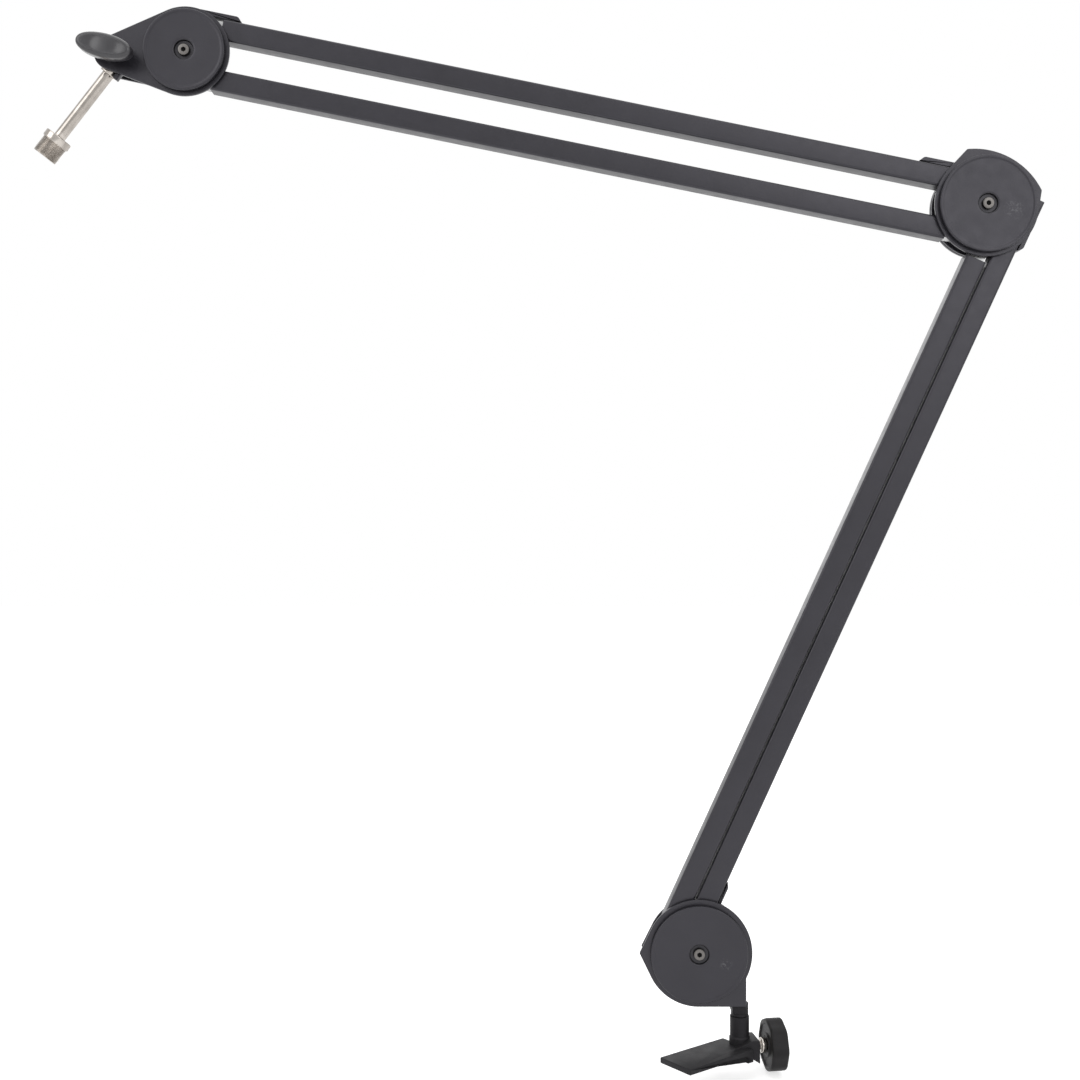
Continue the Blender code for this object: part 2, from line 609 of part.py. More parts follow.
def build_stud():
    """The tilting microphone stud: the block in the nose, the rod, its root collar and the threaded end."""
    axis = pivot("stud_axis", *NOSE)
    down = (-math.sin(STUD_ANGLE), 0.0, -math.cos(STUD_ANGLE))
    aside = (math.cos(STUD_ANGLE) * ROD_OFFSET, 0.0, -math.sin(STUD_ANGLE) * ROD_OFFSET)
    turn = -math.pi / 2 - STUD_ANGLE
    outline = arc(0, 0, BLOCK_RADIUS, math.pi / 2, 3 * math.pi / 2)
    outline += [(BLOCK_REACH, -BLOCK_RADIUS), (BLOCK_REACH, BLOCK_RADIUS)]
    deep = CHEEK_INNER - SEAT_GAP
    hole = circle(0, 0, WING_BOLT_RADIUS + SEAT_GAP)
    bm = slab(turned_outline(outline, turn), [hole], -deep, deep)
    block = piece("stud_block", bm, "black_paint", axis)
    nub = turned_outline(box_outline(0.0, NUB_REACH, NUB_NEAR, NUB_FAR), turn)
    arm = box_outline(ROD_SEAT / 2, BLOCK_REACH - SEAT_GAP, BLOCK_RADIUS / 2, NUB_FAR - SEAT_GAP)
    arm = turned_outline(arm, turn)
    front = SEAT_GAP - deep
    back = NUB_DEPTH - deep
    combine(block, helper("nub_arm", slab(arm, [], front, back - SEAT_GAP), axis), "UNION")
    combine(block, helper("nub_solid", slab(nub, [], front - SEAT_GAP / 2, back), axis), "UNION")
    start = BLOCK_REACH - ROD_SEAT
    seat = rod(ROD_RADIUS + SEAT_GAP, start - SEAT_GAP, 2 * BLOCK_REACH, aside, down)
    combine(block, helper("rod_seat", seat, axis), "DIFFERENCE")
    piece("stud_rod", rod(ROD_RADIUS, start, ROD_END + STUD_FLANGE, aside, down), "nickel", axis)
    bore = ROD_RADIUS + SEAT_GAP
    near = BLOCK_REACH + SEAT_GAP
    ring = [(bore, near), (ROOT_COLLAR_RADIUS, near), (ROOT_COLLAR_RADIUS, near + ROOT_COLLAR_LENGTH),
            (bore, near + ROOT_COLLAR_LENGTH)]
    piece("stud_collar", aimed(turned(ring, closed=True), aside, down), "nickel", axis)
    floor = ROD_END + STUD_FLANGE + SEAT_GAP
    thread_start = ROD_END + STUD_FLANGE
    end = thread_start + STUD_THREAD
    profile = [(0.0, floor), (bore, floor), (bore, ROD_END), (STUD_FLANGE_RADIUS, ROD_END),
               (STUD_FLANGE_RADIUS, thread_start), (STUD_THREAD_RADIUS, thread_start),
               (STUD_THREAD_RADIUS, end), (0.0, end)]
    piece("stud_thread", aimed(turned(profile, THREAD_STEPS), aside, down), "nickel", axis)


def build_wing():
    """The wing knob, its bolt through the nose, and the nut behind."""
    axis = pivot("wing_axis", *NOSE)
    hub_back = CHEEK_OUTER + SEAT_GAP
    wing_back = hub_back + WING_HUB_DEPTH
    wing_front = wing_back + WING_DEPTH
    outline = [(x * WING_LENGTH / 2, z * WING_WIDTH / 2) for x, z in circle(0, 0, 1.0, HULL_STEPS)]
    wing = piece("wing_knob", slab(turned_outline(outline, WING_TURN), [], -wing_front, -wing_back),
                 "black_plastic", axis)
    hub = rod(WING_HUB_RADIUS, -wing_back - WING_DEPTH / 2, -hub_back, (0, 0, 0), (0, 1, 0))
    combine(wing, helper("wing_hub", hub, axis), "UNION")
    bolt_front = wing_back + WING_DEPTH / 2
    bore = rod(WING_BOLT_RADIUS + SEAT_GAP, -bolt_front - SEAT_GAP, 0.0, (0, 0, 0), (0, 1, 0))
    combine(wing, helper("wing_bore", bore, axis), "DIFFERENCE")
    bolt_end = CHEEK_OUTER + SEAT_GAP + NUT_HEIGHT
    piece("wing_bolt", rod(WING_BOLT_RADIUS, -bolt_front, bolt_end, (0, 0, 0), (0, 1, 0)), "nickel", axis)
    nut_axis = pivot("nose_nut_axis", *NOSE)
    nut_bore = circle(0, 0, WING_BOLT_RADIUS + RUNNING_GAP)
    nut = slab(circle(0, 0, NUT_FLATS / math.sqrt(3), 6), [nut_bore], CHEEK_OUTER + SEAT_GAP, bolt_end)
    piece("nose_nut", nut, "nickel", nut_axis)


def main():
    clear_scene()
    build_foot()
    build_lock()
    build_base()
    left = pivot("lower_left_axis", *BASE_LEFT, turn=-LOWER_DIRECTION)
    right = pivot("lower_right_axis", *BASE_RIGHT, turn=-LOWER_DIRECTION)
    build_tube_set("lower_left", LOWER_PIN_LENGTH, left)
    build_tube_set("lower_right", LOWER_PIN_LENGTH, right, (BASE_SHOE, ELBOW_LOWER_SHOE))
    build_elbow()
    bottom = pivot("upper_bottom_axis", *ELBOW_FRONT_LOW, turn=-UPPER_DIRECTION)
    top = pivot("upper_top_axis", *ELBOW_FRONT_HIGH, turn=-UPPER_DIRECTION)
    build_tube_set("upper_bottom", UPPER_PIN_LENGTH, bottom)
    build_tube_set("upper_top", UPPER_PIN_LENGTH, top, (ELBOW_UPPER_SHOE, HEAD_SHOE))
    build_head()
    build_stud()
    build_wing()


main()
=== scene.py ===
import json
import math

import bmesh
import bpy
import numpy as np
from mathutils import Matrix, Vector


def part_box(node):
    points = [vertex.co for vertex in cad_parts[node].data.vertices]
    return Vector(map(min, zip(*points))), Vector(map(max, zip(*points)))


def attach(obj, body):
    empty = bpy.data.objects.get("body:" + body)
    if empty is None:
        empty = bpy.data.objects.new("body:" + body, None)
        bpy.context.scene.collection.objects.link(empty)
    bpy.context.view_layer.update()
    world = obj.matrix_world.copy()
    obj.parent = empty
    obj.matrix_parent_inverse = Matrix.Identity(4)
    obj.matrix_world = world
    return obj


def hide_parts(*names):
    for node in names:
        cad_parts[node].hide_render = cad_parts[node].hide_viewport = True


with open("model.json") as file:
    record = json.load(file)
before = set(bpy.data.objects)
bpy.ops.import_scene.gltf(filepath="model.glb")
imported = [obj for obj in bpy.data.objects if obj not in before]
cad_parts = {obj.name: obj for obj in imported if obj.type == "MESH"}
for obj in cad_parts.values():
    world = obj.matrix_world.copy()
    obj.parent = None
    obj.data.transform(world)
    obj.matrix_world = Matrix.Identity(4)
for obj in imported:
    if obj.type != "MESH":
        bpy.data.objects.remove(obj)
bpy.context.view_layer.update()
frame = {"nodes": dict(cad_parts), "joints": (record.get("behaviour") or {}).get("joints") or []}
nodes = frame["nodes"]
mm = 0.001
mergeDistance = 1e-7  # points nearer than this become one
pivotAt = {joint["name"]: np.array(joint["pos_m"]) for joint in frame["joints"]}
axisOf = {joint["name"]: np.array(joint["axis"], float) for joint in frame["joints"]}
print("frame loaded:", len(nodes), "nodes")


# the camera is level and looks along +Y, as fitted to the photograph
cameraSettings = {"place": (-0.1217, -0.854, 0.3103), "lens": 46.67, "sensor": 36.0}
cameraData = bpy.data.cameras.new("camera")
cameraData.lens = cameraSettings["lens"]
cameraData.sensor_width = cameraSettings["sensor"]
cameraData.clip_start = 0.01
camera = bpy.data.objects.new("camera", cameraData)
camera.location = cameraSettings["place"]
camera.rotation_euler = (math.pi / 2, 0, 0)
bpy.context.scene.collection.objects.link(camera)
bpy.context.scene.camera = camera


# shapes: a shell is its points, its four-cornered faces and its flat end faces
def gridShell(points, wrapRows=False):
    # neighbouring points of the grid are joined; columns always close on themselves, rows where asked,
    # and open ends get one flat face each
    rows, columns = points.shape[:2]
    index = np.arange(rows * columns).reshape(rows, columns)
    here = index if wrapRows else index[:-1]
    there = np.roll(index, -1, axis=0) if wrapRows else index[1:]
    quads = np.stack([here, there, np.roll(there, -1, axis=1), np.roll(here, -1, axis=1)], axis=-1)
    ends = [] if wrapRows else [index[0], index[-1]]
    return points.reshape(-1, 3), quads.reshape(-1, 4), ends


def placed(shell, origin, axes):
    # each point becomes origin + its three numbers times the three axes
    points, quads, ends = shell
    return np.asarray(origin) + points @ np.asarray(axes, float), quads, ends


def ringOf(radius, angles):
    # the radius times the cosine and the sine of each angle
    return np.stack([radius * np.cos(angles), radius * np.sin(angles)], axis=-1)


def turns(count):
    # equal steps round a full turn
    return np.linspace(0, 2 * math.pi, count, endpoint=False)


def ringRows(angles, rows):
    # a ring for each radius and height, either of them one number or one for every angle
    return np.array([np.column_stack([ringOf(radius, angles), np.broadcast_to(height, angles.shape)])
                     for radius, height in rows])


def lathe(profile, columns=96, wrapRows=False):
    # radius and height of each profile point turned round the third axis
    profile = np.asarray(profile, float)
    ring = ringOf(1.0, turns(columns))
    radius, height = profile[:, 0], profile[:, 1]
    flat = radius[:, None, None] * ring[None]
    tall = np.broadcast_to(height[:, None, None], (len(profile), columns, 1))
    return gridShell(np.concatenate([flat, tall], axis=-1), wrapRows)


def softCorners(corners, radius, steps=5, closed=True):
    # every corner is replaced by a curve that leaves its two sides at the given distance, but within the
    # nearer half of each side: the curve is (1-t)^2 start + 2t(1-t) corner + t^2 end
    mostOfSide = 0.48
    corners = np.asarray(corners, float)
    radii = np.broadcast_to(np.asarray(radius, float), (len(corners),))[:, None]
    before = np.roll(corners, 1, axis=0) - corners
    after = np.roll(corners, -1, axis=0) - corners
    lengthBefore = np.linalg.norm(before, axis=1, keepdims=True)
    lengthAfter = np.linalg.norm(after, axis=1, keepdims=True)
    start = corners + before / lengthBefore * np.minimum(radii, lengthBefore * mostOfSide)
    end = corners + after / lengthAfter * np.minimum(radii, lengthAfter * mostOfSide)
    if not closed:
        start[0] = end[0] = corners[0]
        start[-1] = end[-1] = corners[-1]
    t = np.linspace(0, 1, steps)[None, :, None]
    curve = (1 - t) ** 2 * start[:, None] + 2 * t * (1 - t) * corners[:, None] + t ** 2 * end[:, None]
    curve = curve.reshape(-1, 2)
    return curve[np.linalg.norm(curve - np.roll(curve, 1, axis=0), axis=1) > mergeDistance]


def insetBy(outline, distance):
    # each point moves square to the line through its two neighbours, towards the inside
    along = np.roll(outline, -1, axis=0) - np.roll(outline, 1, axis=0)
    along = along / np.maximum(np.linalg.norm(along, axis=1, keepdims=True), 1e-12)
    inward = np.stack([-along[:, 1], along[:, 0]], axis=-1)
    return outline + inward * distance


def edgeRows(outline, low, high, edge, margin, steps=4):
    # the outline at both faces and round both edges: inset edge(1 - sin a), depth edge(1 - cos a)
    angles = np.linspace(0, math.pi / 2, steps)
    inset = edge * (1 - np.sin(angles))
    depth = edge * (1 - np.cos(angles))
    if margin:
        inset = np.concatenate([[edge * margin], inset])
        depth = np.concatenate([[0], depth])
    rings = [np.column_stack([insetBy(outline, i), np.full(len(outline), low + d)])
             for i, d in zip(inset, depth)]
    rings += [np.column_stack([insetBy(outline, i), np.full(len(outline), high - d)])
              for i, d in zip(inset[::-1], depth[::-1])]
    return rings


def softSlab(outline, low, high, edge, hole=None, margin=1.6):
    # a flat piece with rounded edges; with a hole its faces run from the outline to the hole
    rings = edgeRows(outline, low, high, edge, margin)
    if hole is None:
        return gridShell(np.array(rings))
    first, last = [np.column_stack([hole, np.full(len(hole), height)]) for height in (low, high)]
    return gridShell(np.array([first, *rings, last]), wrapRows=True)


def hexRadius(angles, flats):
    # from a hexagon's centre to its side: half its width divided by the cosine of the angle from the
    # nearest side's middle
    return flats / 2 / np.cos((angles + math.pi / 6) % (math.pi / 3) - math.pi / 6)


planeAxes = [(1, 0, 0), (0, 0, 1), (0, 1, 0)]  # local X and Y lie in the arm's plane, local Z runs away


def turnedAxes(direction):
    # local Z along the direction, the other two square to it
    away = np.asarray(direction, float) / np.linalg.norm(direction)
    side = np.cross(away, (0, 1, 0)) if abs(away[1]) < 0.9 else np.array((1.0, 0, 0))
    side = side / np.linalg.norm(side)
    return [side, np.cross(away, side), away]


def meshObject(name, shells):
    # one mesh object from its shells, with double points merged and the faces turned outwards
    points, quads, ends, start = [], [], [], 0
    for shellPoints, shellQuads, shellEnds in shells:
        points.append(shellPoints)
        quads.append(shellQuads + start)
        ends += [end + start for end in shellEnds]
        start += len(shellPoints)
    mesh = bpy.data.meshes.new(name)
    mesh.from_pydata(np.concatenate(points).tolist(), [],
                     np.concatenate(quads).tolist() + [end.tolist() for end in ends])
    work = bmesh.new()
    work.from_mesh(mesh)
    bmesh.ops.remove_doubles(work, verts=work.verts, dist=mergeDistance)
    bmesh.ops.recalc_face_normals(work, faces=work.faces)
    work.to_mesh(mesh)
    work.free()
    made = bpy.data.objects.new(name, mesh)
    bpy.context.scene.collection.objects.link(made)
    return made


def finishMesh(mesh, material, sharp):
    # smooth except where faces meet at more than the sharp angle
    mesh.shade_smooth()
    mesh.set_sharp_from_angle(angle=math.radians(sharp))
    mesh.materials.clear()
    mesh.materials.append(material)


def addPiece(name, shells, material, body, stands, sharp=35):
    # a finished piece riding on its body in place of the nodes that it stands for
    piece = meshObject(name, shells)
    finishMesh(piece.data, material, sharp)
    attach(piece, body)
    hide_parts(*stands)


# finishes
class Finish:
    # a Principled material and short ways to add nodes to it
    def __init__(self, name, colour, roughness, metallic=0.0, **sockets):
        self.material = bpy.data.materials.new(name)
        self.material.use_nodes = True
        self.tree = self.material.node_tree
        self.shader = self.tree.nodes["Principled BSDF"]
        self.shader.inputs["Base Color"].default_value = (*colour, 1)
        self.shader.inputs["Roughness"].default_value = roughness
        self.shader.inputs["Metallic"].default_value = metallic
        for socket, value in sockets.items():
            self.shader.inputs[socket.replace("_", " ")].default_value = value
        self.place = self.add("ShaderNodeTexCoord").outputs["Object"]

    def add(self, kind, **values):
        made = self.tree.nodes.new(kind)
        for name, value in values.items():
            setattr(made, name, value)
        return made

    def join(self, output, target):
        self.tree.links.new(output, target)

    def stretched(self, scale, location=(0, 0, 0)):
        mapping = self.add("ShaderNodeMapping")
        mapping.inputs["Scale"].default_value = scale
        mapping.inputs["Location"].default_value = location
        self.join(self.place, mapping.inputs["Vector"])
        return mapping.outputs["Vector"]

    def noise(self, scale, detail=3.0, roughness=0.5, vector=None):
        made = self.add("ShaderNodeTexNoise")
        made.inputs["Scale"].default_value = scale
        made.inputs["Detail"].default_value = detail
        made.inputs["Roughness"].default_value = roughness
        self.join(self.place if vector is None else vector, made.inputs["Vector"])
        return made.outputs["Fac"]

    def spread(self, value, low, high, fromLow=0.3, fromHigh=0.7):
        made = self.add("ShaderNodeMapRange")
        made.inputs["From Min"].default_value = fromLow
        made.inputs["From Max"].default_value = fromHigh
        made.inputs["To Min"].default_value = low
        made.inputs["To Max"].default_value = high
        self.join(value, made.inputs["Value"])
        return made.outputs["Result"]

    def blendColours(self, factor, first, second):
        made = self.add("ShaderNodeMix", data_type="RGBA")
        self.join(factor, made.inputs[0])
        for socket, value in ((made.inputs[6], first), (made.inputs[7], second)):
            if isinstance(value, tuple):
                socket.default_value = (*value, 1)
            else:
                self.join(value, socket)
        return made.outputs[2]

    def maths(self, operation, first, second):
        made = self.add("ShaderNodeMath", operation=operation)
        for socket, value in zip(made.inputs, (first, second)):
            if isinstance(value, (int, float)):
                socket.default_value = value
            else:
                self.join(value, socket)
        return made.outputs[0]

    def bump(self, height, strength, distance):
        made = self.add("ShaderNodeBump")
        made.inputs["Strength"].default_value = strength
        made.inputs["Distance"].default_value = distance
        self.join(height, made.inputs["Height"])
        self.join(made.outputs["Normal"], self.shader.inputs["Normal"])

    def axis(self, letter):
        made = self.add("ShaderNodeSeparateXYZ")
        self.join(self.place, made.inputs[0])
        return made.outputs[letter]

    def nearSpot(self, spot, radius, full=0.0):
        # one within the full distance of a spot, falling to nothing at the radius
        apart = self.add("ShaderNodeVectorMath", operation="DISTANCE")
        self.join(self.place, apart.inputs[0])
        apart.inputs[1].default_value = spot
        return self.spread(apart.outputs["Value"], 1.0, 0.0, full, radius)


paintGrain = {"clouds": 38.0, "gloss": 150.0, "peelDepth": 0.00008}
paintSettings = {"dark": (0.0130, 0.0124, 0.0155), "light": (0.0190, 0.0182, 0.0225),
                 "roughness": (0.30, 0.38), "grain": 1500.0, "peel": 0.6}
knobPlasticSettings = {"dark": (0.0065, 0.006, 0.0055), "light": (0.010, 0.0095, 0.0085),
                       "roughness": (0.42, 0.55), "gloss": 0.22, "grain": 2600.0, "peel": 0.7}
footPaintSettings = {"dark": (0.010, 0.0096, 0.0105), "light": (0.0155, 0.015, 0.016),
                     "roughness": (0.50, 0.60), "gloss": 0.22, "grain": 1500.0, "peel": 0.8}
glossTint = (0.94, 0.92, 1.0, 1)


def makePaint(name, settings):
    # dark paint or plastic: cloudy colour, uneven gloss and a fine orange peel
    made = Finish(name, settings["light"], 0.42, Specular_Tint=glossTint,
                  Specular_IOR_Level=settings.get("gloss", 0.5))
    clouds = made.noise(paintGrain["clouds"], 4.0, 0.55)
    made.join(made.blendColours(made.spread(clouds, 0.0, 1.0), settings["dark"], settings["light"]),
              made.shader.inputs["Base Color"])
    made.join(made.spread(made.noise(paintGrain["gloss"], 3.0), *settings["roughness"]),
              made.shader.inputs["Roughness"])
    made.bump(made.noise(settings["grain"], 2.0), settings["peel"], paintGrain["peelDepth"])
    return made


coverSettings = {"dark": (0.0115, 0.0110, 0.0140), "light": (0.0165, 0.0158, 0.0200),
                 "roughness": (0.32, 0.42), "grain": 2200.0, "peel": 0.5, "streaks": 420.0,
                 "streaksFrom": 0.50, "streaksTo": 0.72, "scuff": (0.16, 0.16, 0.165),
                 "wellFull": 5.4 * mm, "wellEnd": 7.2 * mm, "well": (0.004, 0.004, 0.0045)}


def makeCoverPlastic(name, scuffs, centre):
    # moulded plastic with a soft mottle, a faint rubbed patch at each spot and a darker well round the bolt
    settings = coverSettings
    made = makePaint(name, settings)
    base = made.shader.inputs["Base Color"].links[0].from_socket
    for spot, radius in scuffs:
        streaks = made.spread(made.noise(settings["streaks"], 5.0, 0.7), 0.0, 1.0,
                              settings["streaksFrom"], settings["streaksTo"])
        factor = made.maths("MULTIPLY", made.nearSpot(spot, radius), streaks)
        base = made.blendColours(factor, base, settings["scuff"])
    for facing in (-1, 1):
        spot = (centre[0], facing * (coverShape["back"] + coverShape["floor"]), centre[2])
        base = made.blendColours(made.nearSpot(spot, settings["wellEnd"], settings["wellFull"]), base,
                                 settings["well"])
    made.join(base, made.shader.inputs["Base Color"])
    return made


paint = makePaint("blackPaint", paintSettings)
knobPlastic = makePaint("knobPlastic", knobPlasticSettings)
footPaint = makePaint("footPaint", footPaintSettings)

gloss = Finish("glossPlastic", (0.022, 0.021, 0.025), 0.34, Coat_Weight=0.35, Coat_Roughness=0.22)
gloss.join(gloss.spread(gloss.noise(90.0, 4.0), 0.30, 0.40), gloss.shader.inputs["Roughness"])
gloss.bump(gloss.noise(500.0, 2.0), 0.25, 0.00006)

nickel = Finish("nickel", (0.42, 0.39, 0.36), 0.14, 1.0)
nickel.join(nickel.blendColours(nickel.spread(nickel.noise(120.0, 4.0), 0.0, 1.0), (0.30, 0.275, 0.25),
                                (0.50, 0.465, 0.43)), nickel.shader.inputs["Base Color"])
nickel.join(nickel.spread(nickel.noise(900.0, 3.0), 0.10, 0.24), nickel.shader.inputs["Roughness"])
nickel.bump(nickel.noise(2600.0, 2.0), 0.2, 0.00003)

# painted shade: the zinc on bolts and nuts darkens to near black with depth below the top of a bolt's head,
# in place of the shade in the socket and round the head
boltTop = 12.25 * mm
zinc = Finish("zincPlate", (0.30, 0.29, 0.285), 0.40, 1.0)
depthBelowHead = zinc.maths("SUBTRACT", boltTop, zinc.maths("ABSOLUTE", zinc.axis("Y"), 0))
# the near-black colour is painted shade, the lighter one the zinc's own colour
zinc.join(zinc.blendColours(zinc.spread(depthBelowHead, 1.0, 0.0, 0.05 * mm, 0.7 * mm), (0.008, 0.008, 0.008),
                            (0.15, 0.142, 0.136)), zinc.shader.inputs["Base Color"])
zinc.join(zinc.spread(zinc.noise(1300.0, 4.0), 0.34, 0.50), zinc.shader.inputs["Roughness"])
zinc.bump(zinc.noise(2400.0, 3.0), 0.3, 0.00003)

springSteel = Finish("springSteel", (0.40, 0.40, 0.40), 0.34, 1.0)
springSteel.join(springSteel.spread(springSteel.noise(700.0, 4.0, vector=springSteel.stretched((1, 12, 1))),
                                    0.26, 0.44), springSteel.shader.inputs["Roughness"])
springSteel.bump(springSteel.noise(1800.0, 2.0), 0.3, 0.00004)
print("finishes made")


# tubes, springs and shoes
tubeSettings = {"side": 12.7 * mm, "wall": 1.0 * mm, "corner": 1.6 * mm, "setback": 8.0 * mm,
                "lip": 0.15 * mm}
shoeSettings = {"gap": 0.3 * mm, "slope": 3.0 * mm, "width": 9.4 * mm, "edge": 0.35 * mm,
                "base": (9.0 * mm, 28.0 * mm, 2.1 * mm), "elbowLower": (-13.0 * mm, 21.0 * mm, 3.3 * mm),
                "elbowUpper": (9.0 * mm, 32.0 * mm, 3.3 * mm), "head": (-8.0 * mm, 18.8 * mm, 3.3 * mm)}
springSettings = {"coil": 3.5 * mm, "wire": 0.68 * mm, "start": 23.2 * mm, "length": 208.0 * mm,
                  "pitch": 2.6 * mm, "around": 8, "perTurn": 16}


def squareRing(side, corner):
    # a square about the centre with softened corners
    half = side / 2
    corners = [(half, -half), (half, half), (-half, half), (-half, -half)]
    return softCorners(corners, corner, steps=6)


def makeTube(label, start, reach, shoes):
    # a rounded square carried along the arm, outside and inside, with eased rims
    length = np.linalg.norm(reach)
    along = reach / length
    rise = np.cross(along, (0, 1, 0))
    axes = [rise, (0, 1, 0), along]
    s = tubeSettings
    low, high = s["setback"], length - s["setback"]
    inner = s["side"] - 2 * s["wall"]
    rows = [(low + s["lip"], 0, s["side"]), (high - s["lip"], 0, s["side"]), (high, s["lip"], s["side"]),
            (high, -s["lip"], inner), (high - s["lip"], 0, inner), (low + s["lip"], 0, inner),
            (low, -s["lip"], inner), (low, s["lip"], s["side"])]
    rings = []
    for place, inset, side in rows:
        corner = s["corner"] if side == s["side"] else s["corner"] - s["wall"] / 2
        ring = squareRing(side - 2 * inset, corner)
        rings.append(np.column_stack([ring, np.full(len(ring), place)]))
    addPiece(f"{label}Tube", [placed(gridShell(np.array(rings), wrapRows=True), start, axes)],
             paint.material, label, [f"{label}_tube"])
    if shoes:
        makeShoe(f"{label}ShoeNear", label, f"{label}_shoe_near", start, along, -rise, shoes[0])
        makeShoe(f"{label}ShoeFar", label, f"{label}_shoe_far", start + reach, -along, -rise, shoes[1])
    makeSpring(f"{label}Spring", label, f"{label}_spring", start, axes)


def makeShoe(name, body, node, pin, inward, outward, kind):
    # the shoe's side view, with its sloping end, carried across the tube's face
    s = shoeSettings
    first, last, thickness = s[kind]
    face = tubeSettings["side"] / 2 + s["gap"]
    top = face + thickness
    corners = [(first, face), (last, face), (last - s["slope"], top), (first, top)]
    outline = softCorners(corners, [0.3 * mm, 0.3 * mm, 1.2 * mm, 0.4 * mm])
    shell = softSlab(outline, -s["width"] / 2, s["width"] / 2, s["edge"])
    addPiece(name, [placed(shell, pin, [inward, outward, (0, 1, 0)])], paint.material, body,
             [node])


def makeSpring(name, body, node, start, axes):
    # round wire carried along a helix: the wire's circle lies across the helix's own direction
    s = springSettings
    count = int(s["length"] / s["pitch"] * s["perTurn"])
    turn = np.arange(count) * 2 * math.pi / s["perTurn"]
    out = np.stack([np.cos(turn), np.sin(turn), np.zeros(count)], axis=-1)
    centre = out * s["coil"]
    centre[:, 2] = s["start"] + s["wire"] + turn / (2 * math.pi) * s["pitch"]
    tangent = np.stack([-np.sin(turn) * s["coil"], np.cos(turn) * s["coil"],
                        np.full(count, s["pitch"] / (2 * math.pi))], axis=-1)
    tangent /= np.linalg.norm(tangent, axis=1, keepdims=True)
    side = np.cross(tangent, out)
    ring = ringOf(s["wire"], turns(s["around"]))
    points = centre[:, None] + ring[None, :, :1] * out[:, None] + ring[None, :, 1:] * side[:, None]
    addPiece(name, [placed(gridShell(points), start, axes)], springSteel.material, body,
             [node])


lowerReach = pivotAt["elbow_turn"] - pivotAt["lower_arm_tilt"]
upperReach = pivotAt["head_turn"] - pivotAt["upper_arm_tilt"]
for label, start, reach, shoes in (
        ("lower_left", pivotAt["lower_arm_tilt"], lowerReach, ()),
        ("lower_right", pivotAt["lower_right_turn"], lowerReach, ("base", "elbowLower")),
        ("upper_bottom", pivotAt["upper_arm_tilt"], upperReach, ()),
        ("upper_top", pivotAt["upper_top_turn"], upperReach, ("elbowUpper", "head"))):
    makeTube(label, start, reach, shoes)
print("tubes made")


# housings: side plates, covers, bolts and nuts
housingSettings = {"inner": 6.85 * mm, "outer": 8.85 * mm, "edge": 0.35 * mm, "hole": 2.7 * mm,
                   "radius": 32.3 * mm, "rearRadius": 30.0 * mm, "corner": 3.6 * mm, "right": 2.9 * mm,
                   "elbowRadius": 31.5 * mm, "elbowRearRadius": 29.2 * mm,
                   "high": (-11.9 * mm, 33.3 * mm), "back": (33.1 * mm, 8.3 * mm), "rise": 8.0 * mm,
                   "headRadius": 27.0 * mm, "headRearRadius": 20.4 * mm, "noseRadius": 9.8 * mm,
                   "nose": (-45.1 * mm, -1.1 * mm), "pinRadius": 5.2 * mm, "directions": 360,
                   "firstDirection": 0.002, "baseScuff": (0.0158, -0.0058, 0.0045),
                   "elbowScuff": (0.0150, -0.0042, 0.0070)}
coverShape = {"radius": 29.2 * mm, "headRadius": 24.6 * mm, "headRearRadius": 18.5 * mm, "back": 9.15 * mm,
              "height": 3.4 * mm, "dish": 0.4 * mm, "recess": 5.6 * mm, "lip": 1.0 * mm, "floor": 1.0 * mm,
              "hole": 2.8 * mm}
boltShape = {"radius": 2.5 * mm, "head": 3.5 * mm, "headHeight": 1.8 * mm, "socket": 2.6 * mm,
             "socketDepth": 1.4 * mm, "socketEase": 0.15 * mm, "tipEase": 0.4 * mm, "seat": 10.45 * mm,
             "nutFlats": 8.0 * mm, "nutHeight": 2.0 * mm}


def centreOf(node):
    # the middle of a node's box, moved into the arm's middle plane
    low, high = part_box(node)
    middle = (np.array(low) + np.array(high)) / 2
    middle[1] = 0
    return middle


def apart(angles, toward):
    # how far each direction lies from another, from 0 to pi
    return np.abs((angles - toward + math.pi) % (2 * math.pi) - math.pi)


def cornerRadius(angles, radius, toward, reach):
    # a circle drawn out to a corner: R / cos(b - a) within b = acos(R / D) of the corner's direction
    spread = math.acos(radius / reach)
    off = apart(angles, toward)
    return np.where(off < spread, radius / np.cos(spread - np.minimum(off, spread)), radius)


def circleFrom(angles, centre, radius):
    # from the origin to the far side of a circle whose centre lies elsewhere: with t the centre's part
    # along the direction and D its distance, t + root(R^2 - D^2 + t^2)
    toward = centre[0] * np.cos(angles) + centre[1] * np.sin(angles)
    inside = radius ** 2 - centre[0] ** 2 - centre[1] ** 2 + toward ** 2
    return toward + np.sqrt(np.maximum(inside, 0))


def baseOutline(size):
    # a circle drawn out to a corner on the left; in the lower right it is squared off by the nearer of a
    # level line under it and an upright line beside it: size / -sin a and right / cos a
    s = housingSettings
    angles = turns(s["directions"]) + s["firstDirection"]
    radius = cornerRadius(angles, size, math.pi, size + s["corner"])
    right = -centreOf("base_cover_front")[0] + s["right"]
    wrapped = (angles + math.pi) % (2 * math.pi) - math.pi
    square = (wrapped < -math.acos(right / size)) & (wrapped > -math.pi / 2)
    least = 0.05  # keeps both divisions finite; where it acts, the other line is the nearer one
    boxed = np.minimum(size / np.maximum(-np.sin(wrapped), least), right / np.maximum(np.cos(wrapped), least))
    return angles, ringOf(np.where(square, boxed, radius), angles)


